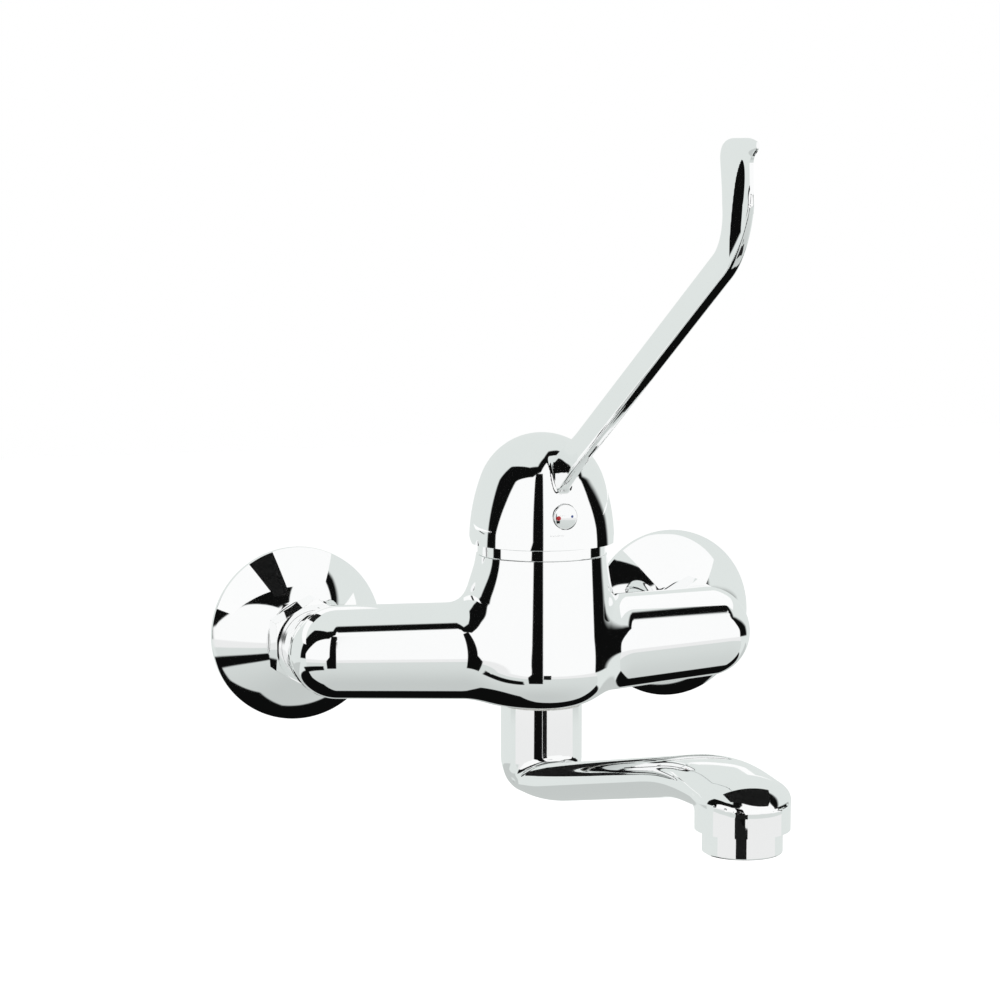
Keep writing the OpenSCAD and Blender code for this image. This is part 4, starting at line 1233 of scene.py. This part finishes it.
def studio_world():
    """White soft boxes in front, a pale room behind and black flags between, as polished metal sees them."""
    world = bpy.data.worlds.new("Studio")
    world.use_nodes = True
    t = world.node_tree
    t.nodes.clear()

    def times(a, b):
        return maths(t, "MULTIPLY", a, b)

    def rest(a):
        return maths(t, "SUBTRACT", 1.0, a)

    def clamp(a, low, high):
        return maths(t, "MINIMUM", maths(t, "MAXIMUM", a, low), high)

    def light(share, levels):
        return maths(t, "MULTIPLY_ADD", share, levels[1], levels[0])

    coord = t.nodes.new("ShaderNodeTexCoord")
    split = t.nodes.new("ShaderNodeSeparateXYZ")
    t.links.new(coord.outputs["Generated"], split.inputs[0])
    x, y, z = split.outputs
    deg = 180 / math.pi
    front = times(y, -1.0)
    off_axis = times(maths(t, "ARCCOSINE", clamp(front, -1.0, 1.0)), deg)
    azimuth = times(maths(t, "ARCTAN2", x, front), deg)
    height = times(maths(t, "ARCSINE", z), deg)
    turns = maths(t, "DIVIDE", maths(t, "ARCTAN2", z, x), 2 * math.pi)
    share = maths(t, "FRACT", maths(t, "ADD", turns, 1.0))
    past_inner = maths(t, "SUBTRACT", off_axis, flag_edge(t, share, FLAG_INNER))
    past_outer = maths(t, "SUBTRACT", off_axis, flag_edge(t, share, FLAG_OUTER))
    in_front = rest(step_up(t, past_inner, -1.0, 1.0))
    soft = light(maths(t, "POWER", maths(t, "MAXIMUM", x, 0.0), 4.0), EDGE_SOFT)
    behind = step_up(t, past_outer, times(soft, -1.0), soft)
    drop = clamp(maths(t, "MULTIPLY_ADD", height, -1.0, LEAN_START), 0.0, LEAN_SPAN)
    leaning = maths(t, "MULTIPLY_ADD", drop, STRIPE_LEAN, azimuth)
    stripe = times(step_up(t, leaning, STRIPE_LEFT - STRIPE_SOFT, STRIPE_LEFT + STRIPE_SOFT),
                   rest(step_up(t, azimuth, STRIPE_RIGHT - STRIPE_SOFT, STRIPE_RIGHT + STRIPE_SOFT)))
    stripe = times(stripe, between(t, height, *STRIPE_HEIGHT, 1.0))
    low_flag = times(between(t, azimuth, *LOW_FLAG_ROUND, 2.0), between(t, height, *LOW_FLAG_HEIGHT, 1.0))
    boxes = step_up(t, height, *BOX_FOOT)
    ground = light(step_up(t, height, *GROUND_RISE), GROUND_LIGHT)
    walls = light(step_up(t, height, *WALL_RISE), WALL_LIGHT)
    lit = maths(t, "ADD", times(boxes, walls), times(rest(boxes), ground))
    room = times(light(boxes, ROOM_LIGHT), behind)
    side = times(between(t, height, *SIDE_GAP, 1.0), rest(maths(t, "MAXIMUM", in_front, behind)))
    level = maths(t, "ADD", times(lit, in_front), maths(t, "ADD", room, times(side, SIDE_LIGHT)))
    level = maths(t, "MULTIPLY_ADD", level, rest(maths(t, "MAXIMUM", stripe, low_flag)), BLACK)
    tint = t.nodes.new("ShaderNodeMix")
    tint.data_type = "RGBA"
    t.links.new(times(in_front, boxes), tint.inputs["Factor"])
    tint.inputs["A"].default_value = ROOM_TINT
    tint.inputs["B"].default_value = WHITE
    path = t.nodes.new("ShaderNodeLightPath")
    shiny = maths(t, "MAXIMUM", path.outputs["Is Glossy Ray"], path.outputs["Is Transmission Ray"])
    lighting = choose(t, shiny, backdrop(t, PLAIN_LIGHT), backdrop(t, level, tint.outputs["Result"]))
    seen = choose(t, path.outputs["Is Camera Ray"], lighting, backdrop(t, 1.0))
    out = t.nodes.new("ShaderNodeOutputWorld")
    t.links.new(seen, out.inputs["Surface"])
    bpy.context.scene.world = world


LAMPS = (("Left soft box", (-0.9, -0.9, 0.7), 14.0), ("Right soft box", (0.9, -0.9, 0.6), 10.0))
LAMP_SIZE = (0.8, 1.0)
LAMP_AIM = (0, -0.1, 0.05)


def soft_lamp(name, place, power):
    data = bpy.data.lights.new(name, "AREA")
    data.shape = "RECTANGLE"
    data.size, data.size_y = LAMP_SIZE
    data.energy = power
    lamp = bpy.data.objects.new(name, data)
    bpy.context.scene.collection.objects.link(lamp)
    lamp.location = place
    lamp.rotation_euler = (Vector(LAMP_AIM) - Vector(place)).to_track_quat("-Z", "Y").to_euler()
    lamp.visible_glossy = False
    lamp.visible_camera = False


# Cards near the metal that show in reflections alone, as painted reflections: the back card paints shade
# behind the body, the other black cards paint dark reflections, and the white cards paint highlights on the
# roses. Columns: name, middle, width and depth in millimetres, tilt about X in degrees, and colour
PAINTED_REFLECTION_CARDS = (("back_painted_shade_card", (0, 30, -22.5), (160, 21), 90, "black"),
         ("outlet_painted_dark_reflection_card", (-48.5, -340, -67.5), (59, 55), 90, "black"),
         ("shoulder_painted_dark_reflection_card", (11, -263, 47), (70, 33), 0, "black"),
         # The two rose cards glow in reflections alone and paint highlights on the roses; the rose band card
         # paints a dark band on them.
         ("left_rose_painted_highlight_card", (-135, -7.5, 42), (170, 35), 0, "white"),
         ("right_rose_painted_highlight_card", (92.5, -30, 55), (105, 60), 0, "white"),
         ("rose_band_painted_dark_reflection_card", (-92.5, -15, 40), (15, 30), 0, "black"))


FLOOR_Z = -0.36
FLOOR_SIZE = 8
FLOOR_GREY = 0.85
FLOOR_GLOW = 0.5


def matte(name, grey, roughness, glow):
    """Plain grey material with a white glow."""
    mat, tree, bsdf = new_material(name)
    bsdf.inputs["Base Color"].default_value = (grey, grey, grey, 1)
    bsdf.inputs["Roughness"].default_value = roughness
    bsdf.inputs["Emission Color"].default_value = WHITE
    bsdf.inputs["Emission Strength"].default_value = glow
    return mat, tree, bsdf


def painted_reflection_card(name, place, size, tilt, mat):
    """A card that shows in reflections alone, as a painted reflection: a black card paints shade, a white
    card paints a highlight.
    """
    bpy.ops.mesh.primitive_plane_add(size=1, location=place, rotation=(math.radians(tilt), 0, 0))
    card = bpy.context.object
    card.name = name
    card.scale = (size[0], size[1], 1)
    wear(card, mat)
    card.visible_camera = card.visible_diffuse = card.visible_shadow = False


class TAP_OT_stage(bpy.types.Operator):
    """Pale floor, studio light and the camera"""

    bl_idname = "tap.stage"
    bl_label = "Stage"

    def execute(self, context):
        deselect()
        scene = context.scene
        scene.view_settings.view_transform = "Standard"
        studio_world()
        for name, place, power in LAMPS:
            soft_lamp(name, place, power)
        bpy.ops.mesh.primitive_plane_add(size=FLOOR_SIZE, location=(0, 0, FLOOR_Z))
        floor = context.object
        floor.name = "floor"
        mat, tree, bsdf = matte("Pale floor", FLOOR_GREY, 0.9, 0.0)
        seen = tree.nodes.new("ShaderNodeLightPath").outputs["Is Camera Ray"]
        tree.links.new(maths(tree, "MULTIPLY", seen, FLOOR_GLOW), bsdf.inputs["Emission Strength"])
        wear(floor, mat)
        floor.visible_glossy = False
        # The black sheet paints dark reflections and shade; the white sheet glows in reflections alone as a
        # painted highlight.
        painted_reflection_sheets = {"black": matte("Black card", BLACK, 1.0, 0.0)[0],
                  "white": matte("White card", 0.0, 1.0, 1.0)[0]}
        for name, place, size, tilt, colour in PAINTED_REFLECTION_CARDS:
            painted_reflection_card(name, Vector(place) * MM, Vector(size) * MM, tilt, painted_reflection_sheets[colour])
        data = bpy.data.cameras.new("Camera")
        data.lens = CAMERA_LENS
        data.sensor_width = 36.0
        cam = bpy.data.objects.new("Camera", data)
        scene.collection.objects.link(cam)
        a, e = CAMERA_AIM
        look = Vector((math.sin(a) * math.cos(e), math.cos(a) * math.cos(e), -math.sin(e)))
        right = Vector((math.cos(a), -math.sin(a), 0))
        up = right.cross(look)
        turn = Matrix((right, up, -look)).transposed()
        cam.matrix_world = Matrix.Translation(CAMERA_AT) @ turn.to_4x4()
        scene.camera = cam
        return {"FINISHED"}


class TAP_PT_panel(bpy.types.Panel):
    """Lists the steps that dress the tap"""

    bl_idname = "TAP_PT_panel"
    bl_label = "Elbow lever tap"
    bl_space_type = "VIEW_3D"
    bl_region_type = "UI"
    bl_category = "Tap"

    def draw(self, context):
        for op in STEPS:
            self.layout.operator(op.bl_idname)
        for group in (context.scene.tap_sizes, context.scene.tap_finish):
            for name in group.__annotations__:
                self.layout.prop(group, name)


STEPS = (TAP_OT_hidden, TAP_OT_body, TAP_OT_lever, TAP_OT_spout, TAP_OT_roses, TAP_OT_nuts, TAP_OT_ring,
         TAP_OT_aerator, TAP_OT_plug, TAP_OT_stage)
CLASSES = (TapSizes, TapFinish, *STEPS, TAP_PT_panel)


def register():
    for cls in CLASSES:
        bpy.utils.register_class(cls)
    bpy.types.Scene.tap_sizes = bpy.props.PointerProperty(type=TapSizes)
    bpy.types.Scene.tap_finish = bpy.props.PointerProperty(type=TapFinish)


def unregister():
    del bpy.types.Scene.tap_finish
    del bpy.types.Scene.tap_sizes
    for cls in reversed(CLASSES):
        bpy.utils.unregister_class(cls)


def main():
    register()
    bpy.ops.tap.hidden()
    bpy.ops.tap.body()
    bpy.ops.tap.lever()
    bpy.ops.tap.spout()
    bpy.ops.tap.roses()
    bpy.ops.tap.nuts()
    bpy.ops.tap.ring()
    bpy.ops.tap.aerator()
    bpy.ops.tap.plug()
    bpy.ops.tap.stage()


if __name__ == "__main__":
    main()
